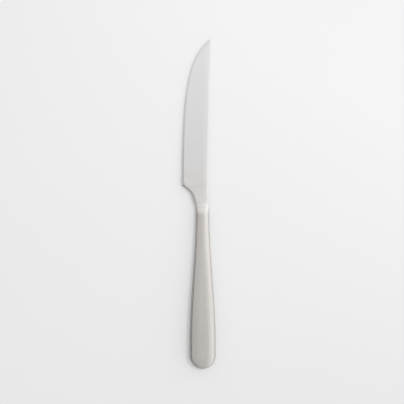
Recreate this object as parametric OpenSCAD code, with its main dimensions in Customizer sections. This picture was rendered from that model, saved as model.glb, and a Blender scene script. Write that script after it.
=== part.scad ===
// Table steak knife: a forged blade cemented into a hollow handle of two pressed and welded half shells.
// It lies flat, as on a table: the tip points to +Y, the cutting edge faces -X and +Z is up.
// The origin is under the middle of the whole knife, on the plane that the handle's belly touches.

/* [Handle] */
// Length of the handle, from its joint with the blade to the butt
handle_len = 115; // [100:1:130]
// Width of the handle at its mouth
mouth_w = 9.6; // [8.6:0.1:12]
// Thickness of the handle at its mouth
mouth_t = 5; // [4.6:0.1:6.2]
// Thickness of the neck behind the mouth
neck_t = 6.4; // [6.2:0.1:8]
// Length in which the handle thickens from its mouth to its neck
neck_len = 5.5; // [5.5:0.5:10]
// Width of the handle at its widest place
belly_w = 18.8; // [15:0.1:24]
// Thickness of the handle at its thickest place
belly_t = 9.2; // [7.6:0.1:12]
// Distance from the joint to where the handle starts to swell
swell_start = 3; // [1:0.5:10]
// Distance from the joint to the widest place
belly_at = 97; // [80:1:110]
// Length of the rounded butt
butt_len = 9.4; // [6:0.1:12]
// Wall of the pressed shells
shell_wall = 0.7; // [0.5:0.05:1]
// Squareness of the handle's section across its width, where 2 is an ellipse
side_power = 3; // [2:0.1:4]
// Squareness of the handle's section through its thickness, where 2 is an ellipse
face_power = 2.2; // [2:0.1:3]

/* [Seam weld] */
// Width of the weld bead that joins the shells
weld_w = 0.6; // [0.3:0.05:0.8]
// Depth of the weld bead
weld_depth = 0.4; // [0.2:0.05:0.45]

/* [Blade outline] */
// Length from the joint to the tip
blade_len = 120; // [105:1:135]
// Distance of the straight spine from the handle's centreline
spine_x = 3.6; // [3:0.1:4.2]
// How far the spine sweeps outwards by the tip
tip_sweep = 2.2; // [0:0.1:4]
// Distance of the straight cutting edge from the handle's centreline
edge_x = 14.55; // [12:0.05:18]
// Distance from the joint to the heel
heel_y = 15.6; // [12:0.1:20]
// Rounding of the heel's corner
heel_r = 1; // [0.5:0.1:2]
// Length of the straight cutting edge in front of the heel
edge_straight = 3.4; // [2:0.1:10]
// Pull of the straight edge on the belly's curve
belly_pull = 75.2; // [60:0.2:80]
// Pull of the tip on the belly's curve
tip_pull = 17; // [10:0.5:20]
// Flat left on the point
tip_flat = 0.4; // [0.3:0.05:0.8]
// Pull of the heel on the choil's curve
heel_pull = 10.5; // [6:0.5:12]
// Pull of the neck on the choil's curve
neck_pull = 11.5; // [6:0.5:13]
// Length over which the spine flares out to the handle's mouth
flare_len = 7; // [4:0.5:10]

/* [Blade section] */
// Thickness of the blade's stock
stock_t = 1.8; // [1.4:0.1:2.4]
// Thickness of the spine at the tip
tip_t = 0.6; // [0.5:0.05:1]
// Distance from the joint to where the spine starts to thin towards the tip
thin_at = 84; // [60:1:90]
// Width of the flat band along the spine, above the ground face
band_w = 3.2; // [2:0.1:5]
// Break on the corners of the spine
spine_break = 0.3; // [0.2:0.05:0.5]
// Thickness at the shoulder of the edge's bevel
shoulder_t = 0.5; // [0.4:0.05:0.7]
// Width of the edge's bevel
bevel_w = 1; // [0.6:0.1:1.4]
// Thickness left on the cutting edge
edge_land = 0.12; // [0.1:0.01:0.2]
// Thickness of the unsharpened choil
choil_t = 1.4; // [1:0.1:1.6]
// Length in which the ground face runs out at the heel
plunge_len = 4; // [2:0.5:6]
// Length of the bolster's ramp from the blade's thickness to the mouth's
ramp_len = 9; // [8:0.5:16]

/* [Serration] */
// Pitch of the teeth along the edge
tooth_pitch = 1.6; // [1.2:0.1:3]
// Depth of the scallops between the teeth
tooth_depth = 0.3; // [0.15:0.05:0.4]
// Radius of the ridges on the wheel that grinds the scallops
tooth_r = 1.5; // [1.2:0.1:3]
// Land left on the points between two scallops
tooth_land = 0.08; // [0.05:0.01:0.3]
// Angle between the wheel's cut and the blade's face
tooth_angle = 25; // [20:1:40]
// Distance along the edge from the heel to the first tooth
tooth_start = 3; // [2:0.5:12]
// Distance along the edge from the last tooth to the tip
tooth_stop = 8; // [4:0.5:20]

/* [Tang] */
// Depth of the bolster's spigot in the handle's mouth
spigot_len = 3.5; // [2:0.5:5]
// Clearance between the spigot and the shells
spigot_gap = 0.08; // [0.04:0.01:0.15]
// Length of the tang, from the joint
tang_len = 42; // [35:1:60]
// Width of the tang at its root
tang_root_w = 5.4; // [4.4:0.1:6]
// Width of the tang at its end
tang_end_w = 4; // [3:0.1:4.4]
// Thickness of the tang at its root
tang_root_t = 2.8; // [2.2:0.1:3.2]
// Thickness of the tang at its end
tang_end_t = 2; // [1.4:0.1:2.2]
// Number of notches that key the tang in the cement
tang_notches = 2; // [1:1:3]
// Length of a notch along the tang
notch_len = 3; // [2:0.5:4]
// Depth of a notch in each side of the tang
notch_depth = 0.7; // [0.3:0.1:0.9]
// Length of solid cement behind the tang
cement_cover = 4; // [2:0.5:10]

/* [Hidden] */

blade_colour = [0.86, 0.86, 0.86];
handle_colour = [0.74, 0.73, 0.71];
weld_colour = [0.66, 0.65, 0.63];
cement_colour = [0.84, 0.80, 0.70];

// Angles of the outline at the heel, the neck and the tip, from the knife's length
heel_angle = 52;
neck_angle = 20;
tip_angle = 49.5;
// How sharply the spine's sweep, the bolster's ramp and the spine's thinning set in
sweep_power = 2.6;
ramp_power = 2;
thin_power = 1.6;
// Squareness of the tang's section, and of the butt's edge seen from the side
tang_power = 6;
butt_power = 3;

// Sine of the turn at the butt's flat end, as a share of a full quarter turn's
butt_cap_share = 0.985;
// Most of a narrow tip's width that the bevel, the band and the spine's break may take
bevel_share = 0.3;
band_share = 0.4;
break_share = 0.1;
// Most of the spine's thickness that the bevel's shoulder may keep
shoulder_share = 0.8;
// Inset of the middle point of the spine's rounded corner
corner_share = 0.3;
// Depth that a notch's hammered waist takes from the tang's faces, as a share of its depth in the sides
notch_waist_share = 0.25;

// Counts of facets
arc_steps = 16;
ring_points = 2 * arc_steps;
curve_steps = 24;
heel_steps = 3;
choil_steps = 12;
mouth_steps = 2;
neck_steps = 2;
cement_steps = 8;
hollow_steps = 10;
butt_steps = 9;
edge_samples = 80;
ground_points = 9;

// Extra length of a cutter past the metal that it cuts
overrun = 1;

butt_start = handle_len - butt_len;
cement_end = tang_len + cement_cover;
heel_top = heel_y + heel_r * sin(heel_angle);

// Places the joint's centre, so that the origin lies under the middle of the knife
joint_place = [(edge_x - belly_w / 2) / 2, (handle_len - blade_len) / 2, belly_t / 2];

function mix(a, b, share) = a + (b - a) * share;
function ease(share) = let (u = max(0, min(1, share))) u * u * (3 - 2 * u);
function rounded(v, power) = sign(v) * pow(abs(v), 2 / power);
function reverse(list) = [for (i = [len(list) - 1 : -1 : 0]) list[i]];

// A point of an oval of half width a and half thickness b, with its own squareness each way
function oval(a, b, angle, across = side_power, through = face_power) =
    [a * rounded(cos(angle), across), b * rounded(sin(angle), through)];

function bezier(p, t) =
    pow(1 - t, 3) * p[0] + 3 * pow(1 - t, 2) * t * p[1] + 3 * (1 - t) * t * t * p[2] + pow(t, 3) * p[3];
function bezier_heading(p, t) =
    pow(1 - t, 2) * (p[1] - p[0]) + 2 * (1 - t) * t * (p[2] - p[1]) + t * t * (p[3] - p[2]);

// Facets between rings of n points each, where ring k starts at point k * n
function side_facets(rings, n) = [
    for (k = [0 : rings - 2], i = [0 : n - 1])
        let (a = k * n + i, b = k * n + (i + 1) % n)
            each [[a, b + n, b], [a, a + n, b + n]]
];

// A closed solid skinned over rings that all have the same number of points
module skin(rings) {
    n = len(rings[0]);
    last = (len(rings) - 1) * n;
    polyhedron(
        [for (ring = rings) each ring],
        concat(
            [for (facet = side_facets(len(rings), n)) reverse(facet)],
            [[for (i = [n - 1 : -1 : 0]) i]], [[for (i = [0 : n - 1]) last + i]]
        )
    );
}

// Half width and half thickness of the handle at a distance from the joint, before the butt rounds it off
function swell(distance) = ease((distance - swell_start) / (belly_at - swell_start));
function half_w(distance) = mix(mouth_w, belly_w, swell(distance)) / 2;
function half_t(distance) =
    mix(neck_t, belly_t, swell(distance)) / 2
    - (neck_t - mouth_t) / 2 * pow(max(0, 1 - distance / neck_len), 2);

// Half width, half thickness and distance from the joint of the handle's surface, a depth below its skin,
// where turn is 0 along the grip and grows round the butt to its small flat end
function section(distance, turn, depth) = [
    (half_w(distance) - depth) * cos(turn),
    (half_t(distance) - depth) * sqrt(1 - pow(sin(turn), butt_power)),
    distance + (butt_len - depth) * sin(turn) / butt_cap_share
];

// Places of the handle's sections, as a distance from the joint and a turn round the butt
cement_places = concat(
    [for (i = [0 : neck_steps - 1]) [mix(spigot_len, neck_len, i / neck_steps), 0]],
    [for (i = [0 : cement_steps]) [mix(neck_len, cement_end, i / cement_steps), 0]]
);
shell_places = concat(
    [for (i = [0 : mouth_steps - 1]) [mix(0, spigot_len, i / mouth_steps), 0]],
    cement_places,
    [for (i = [1 : hollow_steps]) [mix(cement_end, butt_start, i / hollow_steps), 0]],
    [for (i = [1 : butt_steps]) [butt_start, asin(butt_cap_share) * i / butt_steps]]
);

// The outer arc of a half shell from one edge of the weld's groove over the top to the other
function outer_arc(place) =
    let (
        s = section(place[0], place[1], 0),
        groove = asin(pow(weld_w / 2 / s[1], face_power / 2))
    ) [
        for (i = [0 : arc_steps])
            let (p = oval(s[0], s[1], mix(groove, 180 - groove, i / arc_steps))) [p[0], -s[2], p[1]]
    ];

// The inner arc of a half shell, from the seam's one side over the top to the other
function inner_arc(place) =
    let (s = section(place[0], place[1], shell_wall)) [
        for (i = [0 : arc_steps])
            let (p = oval(s[0], s[1], 180 * i / arc_steps)) [p[0], -s[2], i % arc_steps == 0 ? 0 : p[1]]
    ];

// The bottom of the weld's groove on one side of the handle, where side is 1 or -1
function groove_root(place, side) =
    let (s = section(place[0], place[1], weld_depth)) [side * s[0], -s[2], 0];

module half_shell() {
    m = arc_steps;
    n = 2 * m + 4;
    rings = [
        for (place = shell_places)
            concat(
                outer_arc(place), [groove_root(place, -1)],
                reverse(inner_arc(place)), [groove_root(place, 1)]
            )
    ];
    last = (len(rings) - 1) * n;
    mouth_rim = [for (i = [0 : m - 1]) each [[i, i + 1, n - 3 - i], [i, n - 3 - i, n - 2 - i]]];
    mouth_ends = [[0, n - 2, n - 1], [m, m + 1, m + 2]];
    butt_outside = [[for (i = [m : -1 : 0]) last + i]];
    butt_groove = [[last, last + n - 1, last + m + 1, last + m]];
    butt_seam = [[last + n - 1, last + n - 2, last + m + 2, last + m + 1]];
    butt_inside = [[for (i = [n - 2 : -1 : m + 2]) last + i]];
    polyhedron(
        [for (ring = rings) each ring],
        concat(
            side_facets(len(rings), n), mouth_rim, mouth_ends,
            butt_outside, butt_groove, butt_seam, butt_inside
        )
    );
}

module upper_shell() {
    color(handle_colour) translate(joint_place) half_shell();
}

module lower_shell() {
    color(handle_colour) translate(joint_place) mirror([0, 0, 1]) half_shell();
}

// The weld bead runs from the mouth along one side, round the butt and back along the other side
module seam_weld() {
    function bead(place, side) =
        let (p = outer_arc(place)[side > 0 ? 0 : arc_steps])
            [p, [p[0], p[1], -p[2]], groove_root(place, side)];
    color(weld_colour) translate(joint_place)
        skin(concat([for (p = shell_places) bead(p, 1)], [for (p = reverse(shell_places)) bead(p, -1)]));
}

// The cutting edge from the heel to the tip, and the choil from the heel to the joint
tip_x = spine_x + tip_sweep;
heel_x = edge_x - heel_r * (1 - cos(heel_angle));
edge_curve = [
    [-edge_x, heel_top + edge_straight],
    [-edge_x, heel_top + edge_straight + belly_pull],
    [tip_x - tip_flat - tip_pull * sin(tip_angle), blade_len - tip_pull * cos(tip_angle)],
    [tip_x - tip_flat, blade_len]
];
choil_curve = [
    [-heel_x, heel_y],
    [-heel_x + heel_pull * sin(heel_angle), heel_y - heel_pull * cos(heel_angle)],
    [-mouth_w / 2 - neck_pull * sin(neck_angle), neck_pull * cos(neck_angle)],
    [-mouth_w / 2, 0]
];
edge_side = concat(
    [for (i = [0 : curve_steps]) bezier(edge_curve, 1 - i / curve_steps)],
    [
        for (i = [0 : heel_steps - 1])
            let (a = heel_angle * i / heel_steps) [
                -edge_x + heel_r * (1 - cos(a)),
                heel_y + heel_r * (sin(heel_angle) - sin(a))
            ]
    ],
    [for (i = [0 : choil_steps]) bezier(choil_curve, i / choil_steps)]
);

function spine_side(y) =
    spine_x + tip_sweep * pow(y / blade_len, sweep_power)
    + (mouth_w / 2 - spine_x) * pow(max(0, 1 - y / flare_len), 2);

// Thickness of the spine, and of the edge's two bevel points, at a distance from the joint
function spine_t(y) = mix(stock_t, tip_t, pow(max(0, (y - thin_at) / (blade_len - thin_at)), thin_power));
function dullness(y) = ease((heel_top - y) / plunge_len + 0.5);
function ramp(y) = pow(max(0, 1 - y / ramp_len), ramp_power);

// Upper half of the blade's section from the edge to the spine, as points across and up
function blade_profile(left, right, y) =
    let (
        w = right - left,
        t = spine_t(y),
        dull = dullness(y),
        chamfer = min(spine_break, break_share * w),
        bevel = mix(min(bevel_w, bevel_share * w), spine_break, dull),
        shoulder = mix(min(shoulder_t, shoulder_share * t), choil_t, dull),
        land = mix(min(edge_land, shoulder_share * shoulder), choil_t - 2 * spine_break, dull),
        band = min(band_w, band_share * w)
    ) [
        [left, land / 2],
        for (i = [0 : ground_points])
            let (share = i / (ground_points + 1))
                [mix(left + bevel, right - band, share), mix(shoulder, t, share) / 2],
        [right - band, t / 2],
        [right - band / 2, t / 2],
        [right - chamfer, t / 2],
        [right - corner_share * chamfer, t / 2 - corner_share * chamfer],
        [right, t / 2 - chamfer]
    ];

// The blade's section, which turns into the oval of the handle's mouth along the bolster
function blade_ring(left, y) =
    let (
        right = spine_side(y),
        profile = blade_profile(left, right, y),
        upper = [
            for (i = [0 : arc_steps - 1])
                let (round_point = oval((right - left) / 2, mouth_t / 2, 180 * (1 - (i + 0.5) / arc_steps)))
                    mix(profile[i], round_point + [(left + right) / 2, 0], ramp(y))
        ]
    ) concat([for (p = upper) [p[0], y, p[1]]], [for (p = reverse(upper)) [p[0], y, -p[1]]]);

function oval_ring(a, b, distance, across = side_power, through = face_power) = [
    for (i = [0 : ring_points - 1])
        let (p = oval(a, b, 180 - 360 * (i + 0.5) / ring_points, across, through)) [p[0], -distance, p[1]]
];

// The spigot is as wide all along as the mouth lets in
spigot_rings = [
    for (distance = [0, spigot_len])
        let (s = section(0, 0, shell_wall + spigot_gap)) oval_ring(s[0], s[1], distance)
];

function tang_ring(distance, notch) =
    let (share = (distance - spigot_len) / (tang_len - spigot_len))
        oval_ring(
            mix(tang_root_w, tang_end_w, share) / 2 - notch,
            mix(tang_root_t, tang_end_t, share) / 2 - notch_waist_share * notch,
            distance, tang_power, tang_power
        );

// The tang's sections from its root to its end, with a step at each end of a notch
function notch_at(i) = mix(spigot_len, tang_len, (i + 1) / (tang_notches + 1)) - notch_len / 2;
tang_rings = concat(
    [tang_ring(spigot_len, 0)],
    [
        for (i = [0 : tang_notches - 1]) each [
            tang_ring(notch_at(i), 0), tang_ring(notch_at(i), notch_depth),
            tang_ring(notch_at(i) + notch_len, notch_depth), tang_ring(notch_at(i) + notch_len, 0)
        ]
    ],
    [tang_ring(tang_len, 0)]
);

// Length along the cutting edge against the curve's own parameter
edge_table = [
    for (
        i = 0, s = 0;
        i <= edge_samples;
        i = i + 1,
        s = s + norm(bezier(edge_curve, i / edge_samples) - bezier(edge_curve, (i - 1) / edge_samples))
    ) [s, i / edge_samples]
];
edge_len = edge_table[edge_samples][0];
tooth_count = floor((edge_len - tooth_start - tooth_stop) / tooth_pitch);

// The ridge of the grinding wheel that cuts one scallop, square to the edge and tilted up from the lower face
module scallop_cutter(t) {
    place = bezier(edge_curve, t);
    along = bezier_heading(edge_curve, t);
    translate([place[0], place[1], -edge_land / 2])
        rotate([0, 0, atan2(along[1], along[0]) - 90])
            translate([tooth_depth, 0, 0])
                rotate([0, -tooth_angle, 0])
                    translate([-overrun, 0, 0])
                        rotate([90, 0, 90])
                            linear_extrude(bevel_w + 2 * overrun)
                                intersection() {
                                    translate([0, tooth_r]) circle(tooth_r, $fn = 96);
                                    translate([-(tooth_pitch - tooth_land) / 2, 0])
                                        square([tooth_pitch - tooth_land, overrun]);
                                }
}

module blade() {
    color(blade_colour) translate(joint_place)
        difference() {
            skin(concat([for (p = edge_side) blade_ring(p[0], p[1])], spigot_rings, tang_rings));
            for (i = [0 : tooth_count - 1])
                scallop_cutter(lookup(tooth_start + (i + 0.5) * tooth_pitch, edge_table));
        }
}

// The cement fills the shells round the tang, from the spigot's end to past the tang's,
// so its skin runs from the tang's end forwards along the hole and then back along the shells
module tang_cement() {
    function cavity_ring(place) =
        let (arc = inner_arc(place)) concat(
            reverse(arc),
            [for (i = [1 : arc_steps - 1]) [arc[i][0], arc[i][1], -arc[i][2]]]
        );
    color(cement_colour) translate(joint_place)
        skin(concat(reverse(tang_rings), [for (place = cement_places) cavity_ring(place)]));
}

blade();
upper_shell();
lower_shell();
seam_weld();
tang_cement();
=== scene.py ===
"""Steak knife with a hollow steel handle: its looks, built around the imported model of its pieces.

Lengths are in metres and every piece is modelled where it lies: the tip points to +Y, the cutting edge faces
-X and +Z is up. The handle is two pressed half shells that a weld bead joins, and the blade is one forging
whose tang is cemented into the handle.
"""

import logging
import math
from dataclasses import dataclass, field
from enum import Enum
from functools import cache
from typing import Iterable, Sequence

import bmesh
import bpy
from mathutils import Matrix, Vector


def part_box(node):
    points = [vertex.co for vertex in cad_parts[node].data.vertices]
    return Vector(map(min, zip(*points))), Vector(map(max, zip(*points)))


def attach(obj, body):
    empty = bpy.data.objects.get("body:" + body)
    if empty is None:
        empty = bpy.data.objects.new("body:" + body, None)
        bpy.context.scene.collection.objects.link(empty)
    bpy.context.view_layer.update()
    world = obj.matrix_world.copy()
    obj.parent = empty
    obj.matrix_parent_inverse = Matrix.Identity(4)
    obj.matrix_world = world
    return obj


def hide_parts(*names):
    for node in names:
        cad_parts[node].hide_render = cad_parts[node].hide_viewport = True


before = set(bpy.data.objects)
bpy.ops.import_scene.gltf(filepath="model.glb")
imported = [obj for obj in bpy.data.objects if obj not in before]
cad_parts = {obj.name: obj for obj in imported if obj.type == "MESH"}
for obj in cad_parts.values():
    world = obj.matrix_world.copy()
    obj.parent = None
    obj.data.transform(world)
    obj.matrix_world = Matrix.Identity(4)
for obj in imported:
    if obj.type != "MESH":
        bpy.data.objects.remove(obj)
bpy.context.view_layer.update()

MM = 0.001
TOUCH = 0.001 * MM
BODY = "root"
log = logging.getLogger("steak_knife")

Colour = tuple[float, float, float]
Spot = tuple[float, float]
Pair = tuple[float, float]
SOCKET_TYPES = {float: "Float", int: "Int"}


def mix(a: float, b: float, share: float) -> float:
    """Value that lies a share of the way from a to b."""
    return a + (b - a) * share


def ease(share: float) -> float:
    """Smooth step, held at 0 and 1 past its ends."""
    u = min(1.0, max(0.0, share))
    return u * u * (3.0 - 2.0 * u)


def fade(distance: float, reach: Pair) -> float:
    """Share that falls smoothly from 1 at the start of a reach to 0 at its end."""
    return 1.0 - ease((distance - reach[0]) / (reach[1] - reach[0]))


def rounded(value: float, power: float) -> float:
    """Signed power that squares up an oval's sine or cosine, where a power of 2 leaves an ellipse."""
    return math.copysign(abs(value) ** (2.0 / power), value)


def bezier(points: Sequence[Vector], t: float) -> Vector:
    """Point of a cubic curve.

    Args:
        points: The curve's start, its two control points and its end.
        t: Place along the curve, from 0 to 1.

    Returns:
        The point at that place.
    """
    s = 1.0 - t
    return s**3 * points[0] + 3 * s * s * t * points[1] + 3 * s * t * t * points[2] + t**3 * points[3]


class NodeBench:
    """Adds nodes to one node tree and joins their sockets."""

    def __init__(self, tree: bpy.types.NodeTree) -> None:
        """Starts work on a tree."""
        self.tree = tree
        self.given: dict[str, Term] = {}

    def __getitem__(self, name: str) -> "Term":
        """The tree's own input of that name."""
        return self.given[name]

    @classmethod
    def begin(cls, kind: str, name: str, inputs: dict[str, object], outputs: dict[str, str]) -> "NodeBench":
        """Begins a tree of its own, with named inputs and outputs.

        Args:
            kind: The tree's type, such as GeometryNodeTree.
            name: The tree's name.
            inputs: The number that each input starts with, or its type where it takes no number, by name.
            outputs: The type of each output, by name.

        Returns:
            The bench, which gives each input by its name.
        """
        bench = cls(bpy.data.node_groups.new(name, kind))
        for side, sockets in (("INPUT", inputs), ("OUTPUT", outputs)):
            for label, start in sockets.items():
                socket_type = "NodeSocket" + SOCKET_TYPES.get(type(start), str(start))
                socket = bench.tree.interface.new_socket(name=label, in_out=side, socket_type=socket_type)
                if type(start) in SOCKET_TYPES:
                    socket.default_value = start
        sockets = bench.add("NodeGroupInput").outputs
        bench.given = {socket.name: Term(bench, socket) for socket in sockets if socket.name}
        return bench

    def add(self, kind: str, **settings: object) -> bpy.types.Node:
        """Adds a node.

        Args:
            kind: The node's type, such as ShaderNodeMath.
            **settings: Values for the node's own properties.

        Returns:
            The new node.
        """
        node = self.tree.nodes.new(kind)
        for name, value in settings.items():
            setattr(node, name, value)
        return node

    def feed(self, socket: bpy.types.NodeSocket, source: object) -> None:
        """Feeds an input.

        Args:
            socket: The input.
            source: Another node's output, a term of a sum, or a plain value.
        """
        source = getattr(source, "source", source)
        if isinstance(source, bpy.types.NodeSocket):
            self.tree.links.new(source, socket)
        else:
            socket.default_value = source

    def wire(self, kind: str, inputs: dict[str | int, object], **settings: object) -> bpy.types.Node:
        """Adds a node and feeds its inputs.

        Args:
            kind: The node's type.
            inputs: What feeds each input, by the input's name or number.
            **settings: Values for the node's own properties.

        Returns:
            The new node.
        """
        node = self.add(kind, **settings)
        for name, source in inputs.items():
            self.feed(node.inputs[name], source)
        return node

    def made(
        self, kind: str, output: str | int, inputs: dict[str | int, object], **settings: object
    ) -> bpy.types.NodeSocket:
        """Adds a node, feeds its inputs and gives one of its outputs.

        Args:
            kind: The node's type.
            output: The output's name or number.
            inputs: What feeds each input, by the input's name or number.
            **settings: Values for the node's own properties.

        Returns:
            The output.
        """
        return self.wire(kind, inputs, **settings).outputs[output]

    def vector(self, x: object = 0.0, y: object = 0.0, z: object = 0.0) -> bpy.types.NodeSocket:
        """Vector with these parts."""
        return self.made("ShaderNodeCombineXYZ", 0, {"X": x, "Y": y, "Z": z})

    def parts(self, vector: object) -> tuple["Term", ...]:
        """Parts of a vector: X, Y and Z."""
        return tuple(Term(self, part) for part in self.wire("ShaderNodeSeparateXYZ", {0: vector}).outputs)

    def end(self, results: dict[str | int, object]) -> bpy.types.NodeTree:
        """Feeds the tree's own outputs, by name, and gives the tree."""
        self.wire("NodeGroupOutput", results)
        return self.tree

    def end_dressed(self, geometry: object, material: object) -> bpy.types.NodeTree:
        """Ends a geometry tree with plain faces that have one finish.

        Args:
            geometry: The geometry that the tree made.
            material: What gives the finish.

        Returns:
            The tree.
        """
        real = self.made("GeometryNodeRealizeInstances", "Geometry", {"Geometry": geometry})
        finish = {"Geometry": real, "Material": material}
        return self.end({"Geometry": self.made("GeometryNodeSetMaterial", "Geometry", finish)})


@dataclass(frozen=True)
class Term:
    """A number or field of a node tree, with which sums are written as in plain code.

    Attributes:
        bench: The tree that is built.
        source: What gives the number: a node's output or a plain value.
    """

    bench: NodeBench
    source: object

    def do(self, operation: str, *others: object) -> "Term":
        """Adds a Math node.

        Args:
            operation: What it does with its inputs.
            *others: What feeds its inputs after the first, which takes this term.

        Returns:
            Its result.
        """
        node = self.bench.add("ShaderNodeMath", operation=operation)
        for socket, operand in zip(node.inputs, (self, *others)):
            self.bench.feed(socket, operand)
        return Term(self.bench, node.outputs[0])

    def __add__(self, other: object) -> "Term":
        """Sum of two terms."""
        return self.do("ADD", other)

    def __sub__(self, other: object) -> "Term":
        """Difference of two terms."""
        return self.do("SUBTRACT", other)

    def __mul__(self, other: object) -> "Term":
        """Product of two terms."""
        return self.do("MULTIPLY", other)

    def __truediv__(self, other: object) -> "Term":
        """Quotient of two terms."""
        return self.do("DIVIDE", other)

    def power(self, other: object) -> "Term":
        """This term raised to another."""
        return self.do("POWER", other)

    def rest(self) -> "Term":
        """What is left of 1 after this term."""
        return Term(self.bench, 1.0) - self

    def clamped(self) -> "Term":
        """This term held between 0 and 1."""
        return self.do("MAXIMUM", 0.0).do("MINIMUM", 1.0)

    def eased(self) -> "Term":
        """Smooth step of this term, held at 0 and 1 past its ends."""
        u = self.clamped()
        return u * u * (u * -2.0 + 3.0)

    def toward(self, other: object, share: object) -> "Term":
        """Value that lies a share of the way from this term to another."""
        end = other if isinstance(other, Term) else Term(self.bench, other)
        return self + (end - self) * share

    def rounded(self, power: "Term") -> "Term":
        """Signed power that squares up an oval's sine or cosine."""
        return self.do("ABSOLUTE").power(Term(self.bench, 2.0) / power) * self.do("SIGN")


def noise(bench: NodeBench, place: object, scale: object, detail: float, distortion: float = 0.0) -> Term:
    """Adds a noise pattern.

    Args:
        bench: The shader tree that is built.
        place: What gives the coordinates.
        scale: How often it changes in a metre.
        detail: How many finer patterns lie on it.
        distortion: How far it is twisted.

    Returns:
        The pattern, which lies round 0.5.
    """
    inputs = {"Vector": place, "Scale": scale, "Detail": detail, "Distortion": distortion}
    return Term(bench, bench.made("ShaderNodeTexNoise", "Fac", inputs))


def begin_material(name: str) -> tuple[bpy.types.Material, NodeBench, bpy.types.Node]:
    """Begins a material.

    Args:
        name: The material's name.

    Returns:
        The material, a bench for its nodes, and its shader.
    """
    material = bpy.data.materials.new(name)
    material.use_nodes = True
    return material, NodeBench(material.node_tree), material.node_tree.nodes["Principled BSDF"]


class GrainWay(Enum):
    """Direction of the fine lines that grinding or brushing leaves, as their stretch along X, Y and Z."""

    ALONG_THE_KNIFE = (1.0, 0.014, 1.0)
    ACROSS_THE_KNIFE = (0.03, 1.0, 0.03)


@dataclass(frozen=True)
class SteelGrain:
    """Node group of the fine lines on ground or brushed steel.

    Attributes:
        name: The group's name.
        lines: Lines per metre.
        detail: How many finer lines lie on them.
        streaks: Broad streaks for each line.
        streak_detail: How many finer streaks lie on those.
        unevenness: How far the streaks break up the lines.
        contrast: How far the lines stand out from their mean.
    """

    name: str = "steel_grain"
    lines: float = 6000.0
    detail: float = 3.0
    streaks: float = 0.2
    streak_detail: float = 2.0
    unevenness: float = 0.35
    contrast: float = 2.2

    @cache
    def group(self) -> bpy.types.NodeTree:
        """Builds the group, once.

        Returns:
            A group that takes stretched coordinates and gives the lines as a mask and as a height.
        """
        inputs = {"Vector": "Vector", "Lines per metre": self.lines, "Unevenness": self.unevenness}
        outputs = {"Lines": "Float", "Height": "Float"}
        bench = NodeBench.begin("ShaderNodeTree", self.name, inputs, outputs)
        place, lines = bench["Vector"], bench["Lines per metre"]
        fine = noise(bench, place, lines, self.detail)
        coarse = noise(bench, place, lines * self.streaks, self.streak_detail)
        level = fine.toward(coarse, bench["Unevenness"])
        return bench.end({"Lines": ((level - 0.5) * self.contrast + 0.5).clamped(), "Height": level})


@dataclass(frozen=True)
class HandlingMarks:
    """Node group of the faint marks that washing and handling leave on polished metal.

    Attributes:
        name: The group's name.
        smudges: Smudges per metre.
        smudge_detail: How many finer smudges lie on them.
        smudge_twist: How far they are twisted.
        smudge_cut: Level of the noise above which a smudge shows, and how steeply it sets in.
        scratches: Scratches per metre.
        scratch_detail: How many finer scratches lie on them.
        scratch_turns: Directions of the scratches, as turns about Z.
        scratch_stretch: Stretch of the pattern that makes a scratch long and thin.
        scratch_cut: Level of the noise above which a scratch shows, and how steeply it sets in.
    """

    name: str = "handling_marks"
    smudges: float = 55.0
    smudge_detail: float = 4.0
    smudge_twist: float = 0.6
    smudge_cut: Pair = (0.42, 2.5)
    scratches: float = 900.0
    scratch_detail: float = 1.0
    scratch_turns: Pair = (0.24, -0.38)
    scratch_stretch: tuple[float, float, float] = (1.0, 0.03, 1.0)
    scratch_cut: Pair = (0.68, 14.0)

    @staticmethod
    def shown(pattern: Term, cut: Pair) -> Term:
        """Mask of the places where a pattern lies above a level, with how steeply it sets in there."""
        return ((pattern - cut[0]) * cut[1]).clamped()

    @cache
    def group(self) -> bpy.types.NodeTree:
        """Builds the group, once.

        Returns:
            A group that gives broad smudges and thin hairline scratches as two masks.
        """
        counts = {"Smudges per metre": self.smudges, "Scratches per metre": self.scratches}
        outputs = {"Smudges": "Float", "Scratches": "Float"}
        bench = NodeBench.begin("ShaderNodeTree", self.name, {"Vector": "Vector", **counts}, outputs)
        place = bench["Vector"]
        cloud = noise(bench, place, bench["Smudges per metre"], self.smudge_detail, self.smudge_twist)
        scratches = Term(bench, 0.0)
        for turn in self.scratch_turns:
            lean = {"Vector": place, "Rotation": (0.0, 0.0, turn), "Scale": self.scratch_stretch}
            leaned = bench.made("ShaderNodeMapping", "Vector", lean)
            streaks = noise(bench, leaned, bench["Scratches per metre"], self.scratch_detail)
            scratches = scratches + self.shown(streaks, self.scratch_cut)
        return bench.end({"Smudges": self.shown(cloud, self.smudge_cut), "Scratches": scratches.clamped()})


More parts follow.
